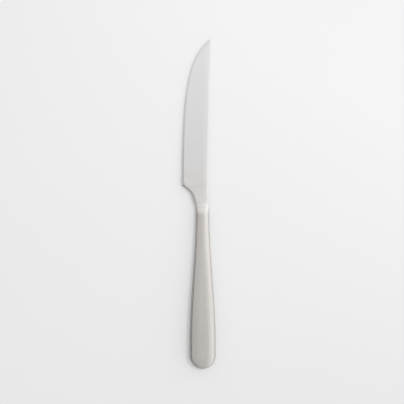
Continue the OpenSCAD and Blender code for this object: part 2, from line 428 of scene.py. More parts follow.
@dataclass(frozen=True)
class SteelFinish:
    """Ground or brushed stainless steel.

    Attributes:
        name: The material's name.
        colour: Its colour where it reflects straight back.
        roughness: How wide its reflections spread.
        way: The direction of its grain.
        lines: Lines of grain per metre across the grain.
        tone_spread: How far the lines vary the colour.
        rough_spread: How far the lines vary the roughness.
        groove: Depth of the grain, for the bump.
        smudge: How far smudges and scratches dull the surface.
        fresh_mask: Name of the attribute that marks freshly ground places, where there are any.
        fresh_roughness: How wide the reflections spread in those places.
        turn_mask: Name of the attribute that marks where the finish turns into the next piece's.
        turn: Colour, roughness and grain that it turns into.
        dark_masks: Names of the attributes that mark darker places, each with how far it darkens them, or
            how far it brightens them where that is below 0.
    """

    name: str
    colour: Colour
    roughness: float
    way: GrainWay
    lines: float = 5500.0
    tone_spread: float = 0.035
    rough_spread: float = 0.08
    groove: float = 0.0015 * MM
    smudge: float = 0.05
    fresh_mask: str = ""
    fresh_roughness: float = 0.2
    turn_mask: str = ""
    turn: tuple[Colour, float, GrainWay] = ((0.81, 0.785, 0.775), 0.29, GrainWay.ALONG_THE_KNIFE)
    dark_masks: tuple[tuple[str, float], ...] = ()

    def grain(self, bench: NodeBench, place: bpy.types.NodeSocket, way: GrainWay) -> tuple[Term, Term]:
        """Adds the grain that runs one way.

        Args:
            bench: The material's nodes.
            place: The object's coordinates.
            way: The direction in which it runs.

        Returns:
            Its lines, as a mask, and their height.
        """
        stretched = bench.made("ShaderNodeMapping", "Vector", {"Vector": place, "Scale": way.value})
        inputs = {"Vector": stretched, "Lines per metre": self.lines}
        grain = bench.wire("ShaderNodeGroup", inputs, node_tree=SteelGrain().group()).outputs
        return Term(bench, grain["Lines"]), Term(bench, grain["Height"])

    @staticmethod
    def marked(bench: NodeBench, mask: str) -> Term:
        """Share that an attribute of the piece gives each place."""
        return Term(bench, bench.add("ShaderNodeAttribute", attribute_name=mask).outputs["Fac"])

    def material(self) -> bpy.types.Material:
        """Builds the material.

        Returns:
            A metal whose grain, smudges and hairline scratches come from noise on the object's coordinates.
        """
        material, bench, shader = begin_material(self.name)
        material.diffuse_color = (*self.colour, 1.0)
        shader.inputs["Metallic"].default_value = 1.0
        place = bench.add("ShaderNodeTexCoord").outputs["Object"]
        lines, height = self.grain(bench, place, self.way)
        colour: object = self.colour
        rough = lines * self.rough_spread + (self.roughness - self.rough_spread / 2)
        if self.turn_mask:
            share = self.marked(bench, self.turn_mask)
            next_colour, next_roughness, next_way = self.turn
            next_lines, next_height = self.grain(bench, place, next_way)
            lines, height = lines.toward(next_lines, share), height.toward(next_height, share)
            rough = rough.toward(next_roughness, share)
            colours = {"Fac": share, "Color1": (*self.colour, 1.0), "Color2": (*next_colour, 1.0)}
            colour = bench.made("ShaderNodeMixRGB", "Color", colours)
        marks = bench.wire("ShaderNodeGroup", {"Vector": place}, node_tree=HandlingMarks().group()).outputs
        rough = rough + (Term(bench, marks["Smudges"]) + marks["Scratches"]) * self.smudge
        if self.fresh_mask:
            rough = rough.toward(self.fresh_roughness, self.marked(bench, self.fresh_mask))
        level = lines * (2.0 * self.tone_spread) + (1.0 - self.tone_spread)
        for mask, depth in self.dark_masks:
            level = level * (self.marked(bench, mask) * -depth + 1.0)
        tone = bench.made("ShaderNodeVectorMath", "Vector", {0: colour, "Scale": level}, operation="SCALE")
        bump = bench.made("ShaderNodeBump", "Normal", {"Height": height, "Distance": self.groove})
        bench.feed(shader.inputs["Base Color"], tone)
        bench.feed(shader.inputs["Roughness"], rough.clamped())
        bench.feed(shader.inputs["Normal"], bump)
        return material


@dataclass(frozen=True)
class CementFinish:
    """Set mineral cement, grainy and matt.

    Attributes:
        name: The material's name.
        pale: Colour of its grains.
        dark: Colour between its grains.
        roughness: How wide its reflections spread.
        grains: Grains per metre.
        relief: How far the grains stand out, for the bump.
    """

    name: str = "cutlers_cement"
    pale: Colour = (0.68, 0.62, 0.48)
    dark: Colour = (0.46, 0.41, 0.31)
    roughness: float = 0.9
    grains: float = 2600.0
    relief: float = 0.05 * MM

    def material(self) -> bpy.types.Material:
        """Builds the material.

        Returns:
            A matt material with pale grains of sand in a darker binder.
        """
        material, bench, shader = begin_material(self.name)
        shader.inputs["Roughness"].default_value = self.roughness
        place = bench.add("ShaderNodeTexCoord").outputs["Object"]
        sand = bench.made("ShaderNodeTexVoronoi", "Distance", {"Vector": place, "Scale": self.grains})
        colours = {"Fac": sand, "Color1": (*self.pale, 1.0), "Color2": (*self.dark, 1.0)}
        tone = bench.made("ShaderNodeMixRGB", "Color", colours)
        bump = bench.made("ShaderNodeBump", "Normal", {"Height": sand, "Distance": self.relief})
        bench.feed(shader.inputs["Base Color"], tone)
        bench.feed(shader.inputs["Normal"], bump)
        return material


@dataclass(frozen=True)
class TableFinish:
    """Matt white table top, whose white is brightened a little by painted light towards the lamp's side.

    Attributes:
        name: The material's name.
        white: How white it is under the knife.
        slopes: How the painted light changes its white a metre along X, along Y and along both.
        limits: Its darkest and its palest white.
        stains: Stains per metre.
        stain_detail: How many finer stains lie on them.
        mottle: How far the stains vary its white.
        roughness: How matt it is.
        glow: Share of it that is seen as plain white paper, with the rest keeping the shadows.
    """

    name: str = "white_table"
    white: float = 0.815
    slopes: tuple[float, float, float] = (0.09, 0.23, 0.9)
    limits: Pair = (0.751, 0.85)
    stains: float = 9.0
    stain_detail: float = 3.0
    mottle: float = 0.006
    roughness: float = 0.8
    glow: float = 0.33

    def material(self) -> bpy.types.Material:
        """Builds the material.

        Returns:
            A matt white that is clear from below, so that the knife's underside can be looked at.
        """
        material, bench, shader = begin_material(self.name)
        shader.inputs["Roughness"].default_value = self.roughness
        shader.inputs["Specular IOR Level"].default_value = 0.0
        place = bench.add("ShaderNodeTexCoord").outputs["Object"]
        x, y, _ = bench.parts(place)
        # Painted light: the white grows towards the lamp's side.
        white = x * self.slopes[0] + y * self.slopes[1] + x * y * self.slopes[2] + self.white
        white = white.do("MAXIMUM", self.limits[0]).do("MINIMUM", self.limits[1])
        white = white + (noise(bench, place, self.stains, self.stain_detail) - 0.5) * (2.0 * self.mottle)
        colour = bench.made("ShaderNodeCombineColor", "Color", {"Red": white, "Green": white, "Blue": white})
        bench.feed(shader.inputs["Base Color"], colour)
        paper = bench.made("ShaderNodeEmission", "Emission", {"Color": colour, "Strength": 1.0})
        path = bench.add("ShaderNodeLightPath").outputs
        seen = Term(bench, path["Is Camera Ray"]) + path["Is Glossy Ray"] + path["Is Transmission Ray"]
        shares = {0: seen.clamped() * self.glow, 1: shader.outputs["BSDF"], 2: paper}
        top = bench.made("ShaderNodeMixShader", "Shader", shares)
        clear = bench.add("ShaderNodeBsdfTransparent").outputs["BSDF"]
        under = bench.add("ShaderNodeNewGeometry").outputs["Backfacing"]
        both = bench.made("ShaderNodeMixShader", "Shader", {0: under, 1: top, 2: clear})
        bench.feed(material.node_tree.nodes["Material Output"].inputs["Surface"], both)
        return material


# Attributes that mark where a piece's finish changes, and where shade and highlights are painted into its
# colour.
FRESH_GRIND = "fresh_grind"
EDGE_SHADE = "edge_shade"
PAINTED_SEAM_SHADE = "painted_seam_shade"
NEAR_JOINT = "near_joint"
PAINTED_REAR_SHADE = "run_out"
PAINTED_SPINE_HIGHLIGHT = "spine_polish"

# The blade's colour takes painted shade along the edge and the choil and on its rear half, ramp and plunge,
# and a painted highlight along the spine by the bolster.
BLADE_STEEL = SteelFinish(
    name="ground_blade_steel",
    colour=(0.835, 0.835, 0.835),
    roughness=0.30,
    way=GrainWay.ACROSS_THE_KNIFE,
    fresh_mask=FRESH_GRIND,
    turn_mask=NEAR_JOINT,
    dark_masks=((FRESH_GRIND, 0.04), (EDGE_SHADE, 0.6), (PAINTED_REAR_SHADE, 0.14), (PAINTED_SPINE_HIGHLIGHT, -0.13)),
)
# The handle's colour takes painted shade beside the seam and a painted highlight on the neck's spine side.
HANDLE_STEEL = SteelFinish(
    name="brushed_handle_steel",
    colour=(0.658, 0.632, 0.606),
    roughness=0.28,
    way=GrainWay.ALONG_THE_KNIFE,
    turn_mask=NEAR_JOINT,
    dark_masks=((PAINTED_SEAM_SHADE, 0.8), (PAINTED_SPINE_HIGHLIGHT, -0.21)),
)
# The weld's colour takes the same painted shade beside the seam.
WELD_STEEL = SteelFinish(
    name="ground_weld_steel",
    colour=(0.62, 0.605, 0.585),
    roughness=0.34,
    way=GrainWay.ALONG_THE_KNIFE,
    dark_masks=((PAINTED_SEAM_SHADE, 0.8),),
)
CEMENT = CementFinish()
TABLE_TOP = TableFinish()


def keep_piece(piece: bpy.types.Object, slot: str, *nodes: str) -> bpy.types.Object:
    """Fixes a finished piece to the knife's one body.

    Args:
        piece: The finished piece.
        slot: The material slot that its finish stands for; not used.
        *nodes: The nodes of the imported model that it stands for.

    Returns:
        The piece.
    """
    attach(piece, BODY)
    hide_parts(*nodes)
    log.info("%s: %d faces, stands for %s", piece.name, len(piece.data.polygons), ", ".join(nodes))
    return piece


def mark(
    bench: NodeBench, geometry: object, name: str, value: object, where: object = True
) -> bpy.types.NodeSocket:
    """Marks points of a geometry.

    Args:
        bench: The geometry tree that is built.
        geometry: What gives the geometry.
        name: Name of the attribute that takes the mark.
        value: What gives each point's mark.
        where: What tells the points that are marked.

    Returns:
        The marked geometry.
    """
    inputs = {"Geometry": geometry, "Selection": where, "Name": name, "Value": value}
    kind = "GeometryNodeStoreNamedAttribute"
    return bench.made(kind, "Geometry", inputs, data_type="FLOAT", domain="POINT")


def new_object(name: str) -> bpy.types.Object:
    """Adds an object with an empty mesh at the origin.

    Args:
        name: The object's name.

    Returns:
        The object.
    """
    piece = bpy.data.objects.new(name, bpy.data.meshes.new(name))
    bpy.context.scene.collection.objects.link(piece)
    return piece


def run_tree(piece: bpy.types.Object, tree: bpy.types.NodeTree, values: dict[str, object]) -> None:
    """Runs a geometry tree on a piece and keeps the result as its plain mesh.

    Args:
        piece: The piece, whose mesh is the tree's input.
        tree: The geometry tree.
        values: A value for each of the tree's inputs, by name.
    """
    modifier = piece.modifiers.new(tree.name, "NODES")
    modifier.node_group = tree
    for item in tree.interface.items_tree:
        if item.item_type == "SOCKET" and item.in_out == "INPUT" and item.name in values:
            modifier[item.identifier] = values[item.name]
    graph = bpy.context.evaluated_depsgraph_get()
    result = bpy.data.meshes.new_from_object(piece.evaluated_get(graph), depsgraph=graph)
    piece.modifiers.remove(modifier)
    result.materials.clear()
    result.materials.append(values["Material"])
    result.polygons.foreach_set("material_index", [0] * len(result.polygons))
    empty, piece.data = piece.data, result
    bpy.data.meshes.remove(empty)
    result.name = piece.name


def shade(piece: bpy.types.Object, crease: float) -> None:
    """Shades a piece smooth, apart from its creases.

    Args:
        piece: The piece.
        crease: Angle between two faces, in radians, past which their edge stays sharp.
    """
    bench = bmesh.new()
    bench.from_mesh(piece.data)
    for face in bench.faces:
        face.smooth = True
    for edge in bench.edges:
        if edge.is_manifold and edge.calc_face_angle(0.0) > crease:
            edge.smooth = False
    bench.to_mesh(piece.data)
    bench.free()


@dataclass
class Handle:
    """The hollow handle: two pressed half shells and the weld bead between them.

    Attributes:
        mouth_half_w: Half width at the mouth.
        mouth_half_t: Half thickness at the mouth.
        neck_half_t: Half thickness of the neck behind the mouth.
        neck_len: Length in which it thickens from its mouth to its neck.
        swell_start: Distance from the joint to where it starts to widen.
        belly_at: Distance from the joint to its widest place.
        butt_len: Length of the rounded butt.
        wall: Wall of the shells.
        mouth_break: Rounding of the mouth's outer rim.
        weld_half: Half width of the weld bead.
        weld_depth: Depth of the weld bead.
        weld_crown: How far the middle of the bead stands above its sides.
        tint_reach: Where the painted shade beside the weld starts to fade and ends, as shares of half the
            thickness. It stands in for the dark reflection and shadow along the flanks.
        tint_spine: Share of that painted shade that is left on the spine's side, which faces the brighter
            side of the room.
        tint_turn: Where round the outline it falls to that share, from -1 by the edge to 1 by the spine.
        tint_rear: Share of the painted shade that is left behind the neck.
        tint_len: Length behind the joint over which it falls to that share.
        polish_len: Length behind the joint over which the blade's finish runs out on the shells.
        rub_at: Place across the neck of a band of painted highlight, standing in for the broad
        highlight of a rounder neck, as a share of the half width.
        rub_half: Half width of that band, as the same share.
        rub_len: Length behind the joint over which the band fades.
        last_row: Height at which the turn round the butt ends, as a share of the rim's.
        side_power: Squareness of its section across its width.
        face_power: Squareness of its section through its thickness.
        butt_power: Squareness of the butt's edge, seen from the side.
        grip_rows: Sections along the grip.
        butt_rows: Sections round the butt.
        arc_steps: Facets round half a section.
        crease: Angle past which an edge is shaded sharp.
        centre_x: Place of the handle's centreline across the knife.
        joint_y: Place of the joint along the knife.
        seam_z: Height of the seam.
        length: Length of the handle.
        belly_half_w: Half width at its widest place.
        belly_half_t: Half thickness at its thickest place.
    """

    mouth_half_w: float = 4.8 * MM
    mouth_half_t: float = 2.5 * MM
    neck_half_t: float = 3.2 * MM
    neck_len: float = 5.5 * MM
    swell_start: float = 3.0 * MM
    belly_at: float = 97.0 * MM
    butt_len: float = 9.4 * MM
    wall: float = 0.7 * MM
    mouth_break: float = 0.03 * MM
    weld_half: float = 0.3 * MM
    weld_depth: float = 0.4 * MM
    weld_crown: float = 0.01 * MM
    tint_reach: Pair = (0.3, 0.77)
    tint_spine: float = 0.1
    tint_turn: Pair = (-0.25, 0.75)
    tint_rear: float = 0.72
    tint_len: float = 30.0 * MM
    polish_len: float = 5.0 * MM
    rub_at: float = 0.37
    rub_half: float = 0.47
    rub_len: float = 62.0 * MM
    last_row: float = 0.999
    side_power: float = 3.0
    face_power: float = 2.2
    butt_power: float = 3.0
    grip_rows: int = 120
    butt_rows: int = 48
    arc_steps: int = 72
    crease: float = math.radians(28)
    centre_x: float = field(init=False)
    joint_y: float = field(init=False)
    seam_z: float = field(init=False)
    length: float = field(init=False)
    belly_half_w: float = field(init=False)
    belly_half_t: float = field(init=False)

    def __post_init__(self) -> None:
        """Takes the handle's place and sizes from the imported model, its outline from that of the weld."""
        low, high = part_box("seam_weld")
        top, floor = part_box("upper_shell")[1].z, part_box("lower_shell")[0].z
        self.centre_x = (low.x + high.x) / 2
        self.joint_y = high.y
        self.seam_z = (top + floor) / 2
        self.length = high.y - low.y
        self.belly_half_w = (high.x - low.x) / 2
        self.belly_half_t = (top - floor) / 2

    def joint(self) -> Vector:
        """Centre of the joint between the handle and the blade."""
        return Vector((self.centre_x, self.joint_y, self.seam_z))

    def sizes(self) -> dict[str, float]:
        """Sizes of the handle's outside.

        Returns:
            The sizes, by the names of the inputs that take them in every tree of the handle.
        """
        return {
            "Mouth half width": self.mouth_half_w,
            "Mouth half thickness": self.mouth_half_t,
            "Neck half thickness": self.neck_half_t,
            "Neck length": self.neck_len,
            "Belly half width": self.belly_half_w,
            "Belly half thickness": self.belly_half_t,
            "Swell start": self.swell_start,
            "Belly at": self.belly_at,
            "Butt start": self.length - self.butt_len,
            "Butt length": self.butt_len,
            "Side power": self.side_power,
            "Face power": self.face_power,
            "Butt power": self.butt_power,
        }

    def values(self, upper: bool) -> dict[str, float]:
        """Numbers that a piece's tree takes, by the names of its inputs.

        Args:
            upper: Whether the piece lies above the seam.

        Returns:
            The handle's sizes, those of its walls, weld and finish, and the counts of its facets.
        """
        return {
            **self.sizes(),
            "Wall": self.wall,
            "Mouth break": self.mouth_break,
            "Weld half width": self.weld_half,
            "Weld depth": self.weld_depth,
            "Weld crown": self.weld_crown,
            "Tint fades at": self.tint_reach[0],
            "Tint ends at": self.tint_reach[1],
            "Tint by the spine": self.tint_spine,
            "Tint turns from": self.tint_turn[0],
            "Tint turns to": self.tint_turn[1],
            "Tint at the rear": self.tint_rear,
            "Tint length": self.tint_len,
            "Polish length": self.polish_len,
            "Rub place": self.rub_at,
            "Rub half width": self.rub_half,
            "Rub length": self.rub_len,
            "Upper": 1.0 if upper else -1.0,
            "Grip rows": self.grip_rows,
            "Butt rows": self.butt_rows,
            "Arc steps": self.arc_steps,
        }

    def skin_group(self) -> bpy.types.NodeTree:
        """Builds the group that places a point of the handle's skin or of a surface under it.

        Returns:
            A group that takes a point's distance from the joint, its turn round the butt, its share of the
            way round half a section, its depth, and the height at which that half section ends. It gives the
            point's position, and its height and its place across the knife as shares of half the section.
        """
        inputs = self.sizes() | dict.fromkeys(("Distance", "Turn", "Around", "Depth", "Rim"), 0.0)
        outputs = {"Position": "Vector", "Height": "Float", "Side": "Float"}
        bench = NodeBench.begin("GeometryNodeTree", "handle_skin", inputs, outputs)
        swell_len = bench["Belly at"] - bench["Swell start"]
        swell = ((bench["Distance"] - bench["Swell start"]) / swell_len).eased()
        half_w = bench["Mouth half width"].toward(bench["Belly half width"], swell)
        short = (bench["Distance"] / bench["Neck length"]).clamped().rest()
        lean = (bench["Neck half thickness"] - bench["Mouth half thickness"]) * short * short
        half_t = bench["Neck half thickness"].toward(bench["Belly half thickness"], swell) - lean
        sine, cosine = bench["Turn"].do("SINE"), bench["Turn"].do("COSINE")
        flank = sine.power(bench["Butt power"]).rest().do("MAXIMUM", 0.0).do("SQRT")
        across, through = (half_w - bench["Depth"]) * cosine, (half_t - bench["Depth"]) * flank
        rim = (bench["Rim"] / through.do("MAXIMUM", TOUCH)).clamped()
        first = rim.power(bench["Face power"] / 2.0).do("ARCSINE")
        angle = first.toward(math.pi, bench["Around"]) - first * bench["Around"]
        reach = bench["Distance"] + (bench["Butt length"] - bench["Depth"]) * sine
        side = angle.do("COSINE").rounded(bench["Side power"])
        height = angle.do("SINE").rounded(bench["Face power"])
        spot = bench.vector(across * side, reach * -1.0, through * height)
        return bench.end({"Position": spot, "Height": flank * height, "Side": cosine * side})

    def start_tree(self, name: str) -> NodeBench:
        """Starts the geometry tree of a piece.

        Args:
            name: Name of the tree.

        Returns:
            The bench for its nodes.
        """
        inputs = {"Geometry": "Geometry", **self.values(True), "Material": "Material"}
        return NodeBench.begin("GeometryNodeTree", name, inputs, {"Geometry": "Geometry"})

    def on_skin(
        self, bench: NodeBench, skin: bpy.types.NodeTree, sheet: bpy.types.NodeSocket, **where: Term
    ) -> bpy.types.NodeSocket:
        """Lays the points of a grid or a line on the handle, and marks its painted shade, highlight and
        finish.

        Args:
            bench: The tree that is built.
            skin: The group that places a point.
            sheet: The geometry to be laid.
            **where: What feeds the group's Distance, Turn, Around, Depth and Rim.

        Returns:
            The laid geometry.
        """
        inputs = {name: bench[name] for name in self.sizes()}
        inputs |= {name.capitalize(): term for name, term in where.items()}
        laid = bench.wire("GeometryNodeGroup", inputs, node_tree=skin).outputs
        height, side, distance = Term(bench, laid["Height"]), Term(bench, laid["Side"]), where["distance"]
        # Painted shade beside the seam, less on the spine's side and behind the neck: it stands in for the
        # dark reflection and shadow along the edge's flank.
        seam_shade_fade = bench["Tint ends at"] - bench["Tint fades at"]
        near = ((height - bench["Tint fades at"]) / seam_shade_fade).eased().rest()
        tint_turn = bench["Tint turns to"] - bench["Tint turns from"]
        turned = ((side - bench["Tint turns from"]) / tint_turn).eased()
        behind = (distance / bench["Tint length"]).eased()
        seam_shade = near * (turned * (bench["Tint by the spine"] - 1.0) + 1.0)
        seam_shade = seam_shade * (behind * (bench["Tint at the rear"] - 1.0) + 1.0)
        polish = (distance / bench["Polish length"]).eased().rest()
        # Painted highlight on the neck's spine side, standing in for the broad highlight that a rounder neck
        # would catch.
        aside = (side - bench["Rub place"]).do("ABSOLUTE") / bench["Rub half width"]
        neck_highlight_fade = (distance / bench["Rub length"]).eased().rest()
        neck_highlight = aside.eased().rest() * neck_highlight_fade * polish.rest().power(2.0)
        for name, value in ((PAINTED_SEAM_SHADE, seam_shade), (NEAR_JOINT, polish), (PAINTED_SPINE_HIGHLIGHT, neck_highlight)):
            sheet = mark(bench, sheet, name, value)
        x, y, z = bench.parts(laid["Position"])
        position = bench.vector(x, y, bench["Upper"] * z)
        return bench.made("GeometryNodeSetPosition", "Geometry", {"Geometry": sheet, "Position": position})

    def rows(self, bench: NodeBench, row: Term, rim: Term) -> tuple[Term, Term]:
        """Spreads rows of points over the grip and round the butt.

        Args:
            bench: The tree that is built.
            row: Number of the row, from 0 at the mouth.
            rim: Height at which the half section ends, which also ends the turn round the butt.

        Returns:
            The distance from the joint and the turn round the butt.
        """
        grip = ((row - 1.0) / (bench["Grip rows"] - 1.0)).clamped()
        distance = bench["Mouth break"] * row.clamped() + (bench["Butt start"] - bench["Mouth break"]) * grip
        flat = rim * self.last_row / bench["Belly half thickness"]
        last = (flat * flat).rest().power(Term(bench, 1.0) / bench["Butt power"]).do("ARCSINE")
        return distance, ((row - bench["Grip rows"]) / bench["Butt rows"]).clamped() * last

    def grid(self, bench: NodeBench, rows: Term, columns: Term) -> tuple[bpy.types.NodeSocket, Term, Term]:
        """Adds a grid.

        Args:
            bench: The tree that is built.
            rows: Number of rows of points.
            columns: Number of columns of points.

        Returns:
            The grid, and each point's row and column, counted from 0.
        """
        square = {"Size X": 1.0, "Size Y": 1.0, "Vertices X": rows, "Vertices Y": columns}
        x, y, _ = bench.parts(bench.add("GeometryNodeInputPosition").outputs[0])
        row, column = (x + 0.5) * (rows - 1.0), (y + 0.5) * (columns - 1.0)
        return bench.made("GeometryNodeMeshGrid", "Mesh", square), row, column

    def shell_tree(self, skin: bpy.types.NodeTree) -> bpy.types.NodeTree:
        """Builds the tree of one pressed half shell.

        Args:
            skin: The group that places a point of the handle.

        Returns:
            A tree that bends a grid into the shell's outside, the sides of the weld's groove and the inside,
            in one loop, and closes the loop's end at the mouth with a second grid.
        """
        bench = self.start_tree("pressed_half_shell")
        steps = bench["Arc steps"]
        inside_start = steps + 2.0
        inside_end = inside_start + steps
        rows = bench["Grip rows"] + bench["Butt rows"] + 1.0
        sheet, row, column = self.grid(bench, rows, inside_end + 3.0)
        under = (column - steps).clamped() - (column - inside_end - 1.0).clamped()
        inside = (column - inside_start + 1.0).clamped() - (column - inside_end).clamped()
        chamfer = bench["Mouth break"] * row.clamped().rest() * under.rest()
        depth = bench["Weld depth"] * under + (bench["Wall"] - bench["Weld depth"]) * inside + chamfer
        around = (column / steps).clamped() - ((column - inside_start) / steps).clamped()
        rim = bench["Weld half width"] * under.rest()
        distance, turn = self.rows(bench, row, rim)
        where = {"distance": distance, "turn": turn, "around": around, "depth": depth, "rim": rim}
        shell = self.on_skin(bench, skin, sheet, **where)
        strip_rows = Term(bench, 2.0) + 0.0  # a sum, because the grid takes a whole number or a link
        strip, outer, column = self.grid(bench, strip_rows, steps + 3.0)
        end = column.clamped().rest() + (column - steps - 1.0).clamped()
        depth = bench["Wall"].toward(bench["Mouth break"], outer).toward(bench["Weld depth"], end)
        around = ((column - 1.0) / steps).clamped()
        rim = bench["Weld half width"] * outer * end.rest()
        zero = Term(bench, 0.0)
        where = {"distance": zero, "turn": zero, "around": around, "depth": depth, "rim": rim}
        mouth = self.on_skin(bench, skin, strip, **where)
        both = bench.add("GeometryNodeJoinGeometry")
        for part in (shell, mouth):
            bench.feed(both.inputs[0], part)
        flip = {"Mesh": both.outputs[0], "Selection": bench["Upper"].do("GREATER_THAN", 0.0)}
        return self.end_tree(bench, bench.made("GeometryNodeFlipFaces", "Mesh", flip))

    def bead_tree(self, skin: bpy.types.NodeTree) -> bpy.types.NodeTree:
        """Builds the tree of the weld bead.

        Args:
            skin: The group that places a point of the handle.

        Returns:
            A tree that sweeps the bead's section along the outline, from the mouth round the butt and back.
        """
        bench = self.start_tree("seam_bead")
        rows = bench["Grip rows"] + bench["Butt rows"]
        ends = {"Start": (0.0, 0.0, 0.0), "End": (1.0, 0.0, 0.0)}
        line = bench.made("GeometryNodeCurvePrimitiveLine", "Curve", ends)
        points = bench.made("GeometryNodeResampleCurve", "Curve", {"Curve": line, "Count": rows * 2.0 + 1.0})
        beyond = Term(bench, bench.add("GeometryNodeInputIndex").outputs[0]) - rows
        zero = Term(bench, 0.0)
        distance, turn = self.rows(bench, rows - beyond.do("ABSOLUTE"), zero)
        where = {"distance": distance, "turn": turn, "around": beyond.clamped(), "depth": zero, "rim": zero}
        path = self.on_skin(bench, skin, points, **where)
        profile = bench.add("GeometryNodeCurvePrimitiveQuadrilateral", mode="POINTS")
        half, crown = bench["Weld half width"], bench["Weld crown"]
        corners = ((crown, half), (zero, zero), (crown, half * -1.0), (bench["Weld depth"], zero))
        for number, corner in enumerate(corners, 1):
            bench.feed(profile.inputs[f"Point {number}"], bench.vector(*corner))
        flat = bench.made("GeometryNodeSetCurveNormal", "Curve", {"Curve": path}, mode="Z_UP")
        sweep = {"Curve": flat, "Profile Curve": profile.outputs["Curve"], "Fill Caps": True}
        return self.end_tree(bench, bench.made("GeometryNodeCurveToMesh", "Mesh", sweep))

    @staticmethod
    def end_tree(bench: NodeBench, made: bpy.types.NodeSocket) -> bpy.types.NodeTree:
        """Ends a tree: doubles are merged and the finish is set.

        Args:
            bench: The tree that is built.
            made: The geometry that it made.

        Returns:
            The tree.
        """
        merged = bench.made("GeometryNodeMergeByDistance", "Geometry", {"Geometry": made, "Distance": TOUCH})
        return bench.end_dressed(merged, bench["Material"])

    def build(self) -> list[bpy.types.Object]:
        """Builds and dresses the two half shells and the weld bead.

        Returns:
            The three pieces.
        """
        skin = self.skin_group()
        shell, bead = self.shell_tree(skin), self.bead_tree(skin)
        steel, weld = HANDLE_STEEL.material(), WELD_STEEL.material()
        pieces = []
        for name, tree, upper, finish, slot, node in (
            ("upper_half_shell", shell, True, steel, "handle_steel", "upper_shell"),
            ("lower_half_shell", shell, False, steel, "handle_steel", "lower_shell"),
            ("seam_bead", bead, True, weld, "weld_steel", "seam_weld"),
        ):
            piece = new_object(name)
            run_tree(piece, tree, {**self.values(upper), "Material": finish})
            piece.data.transform(Matrix.Translation(self.joint()))
            shade(piece, self.crease)
            pieces.append(keep_piece(piece, slot, node))
        return pieces


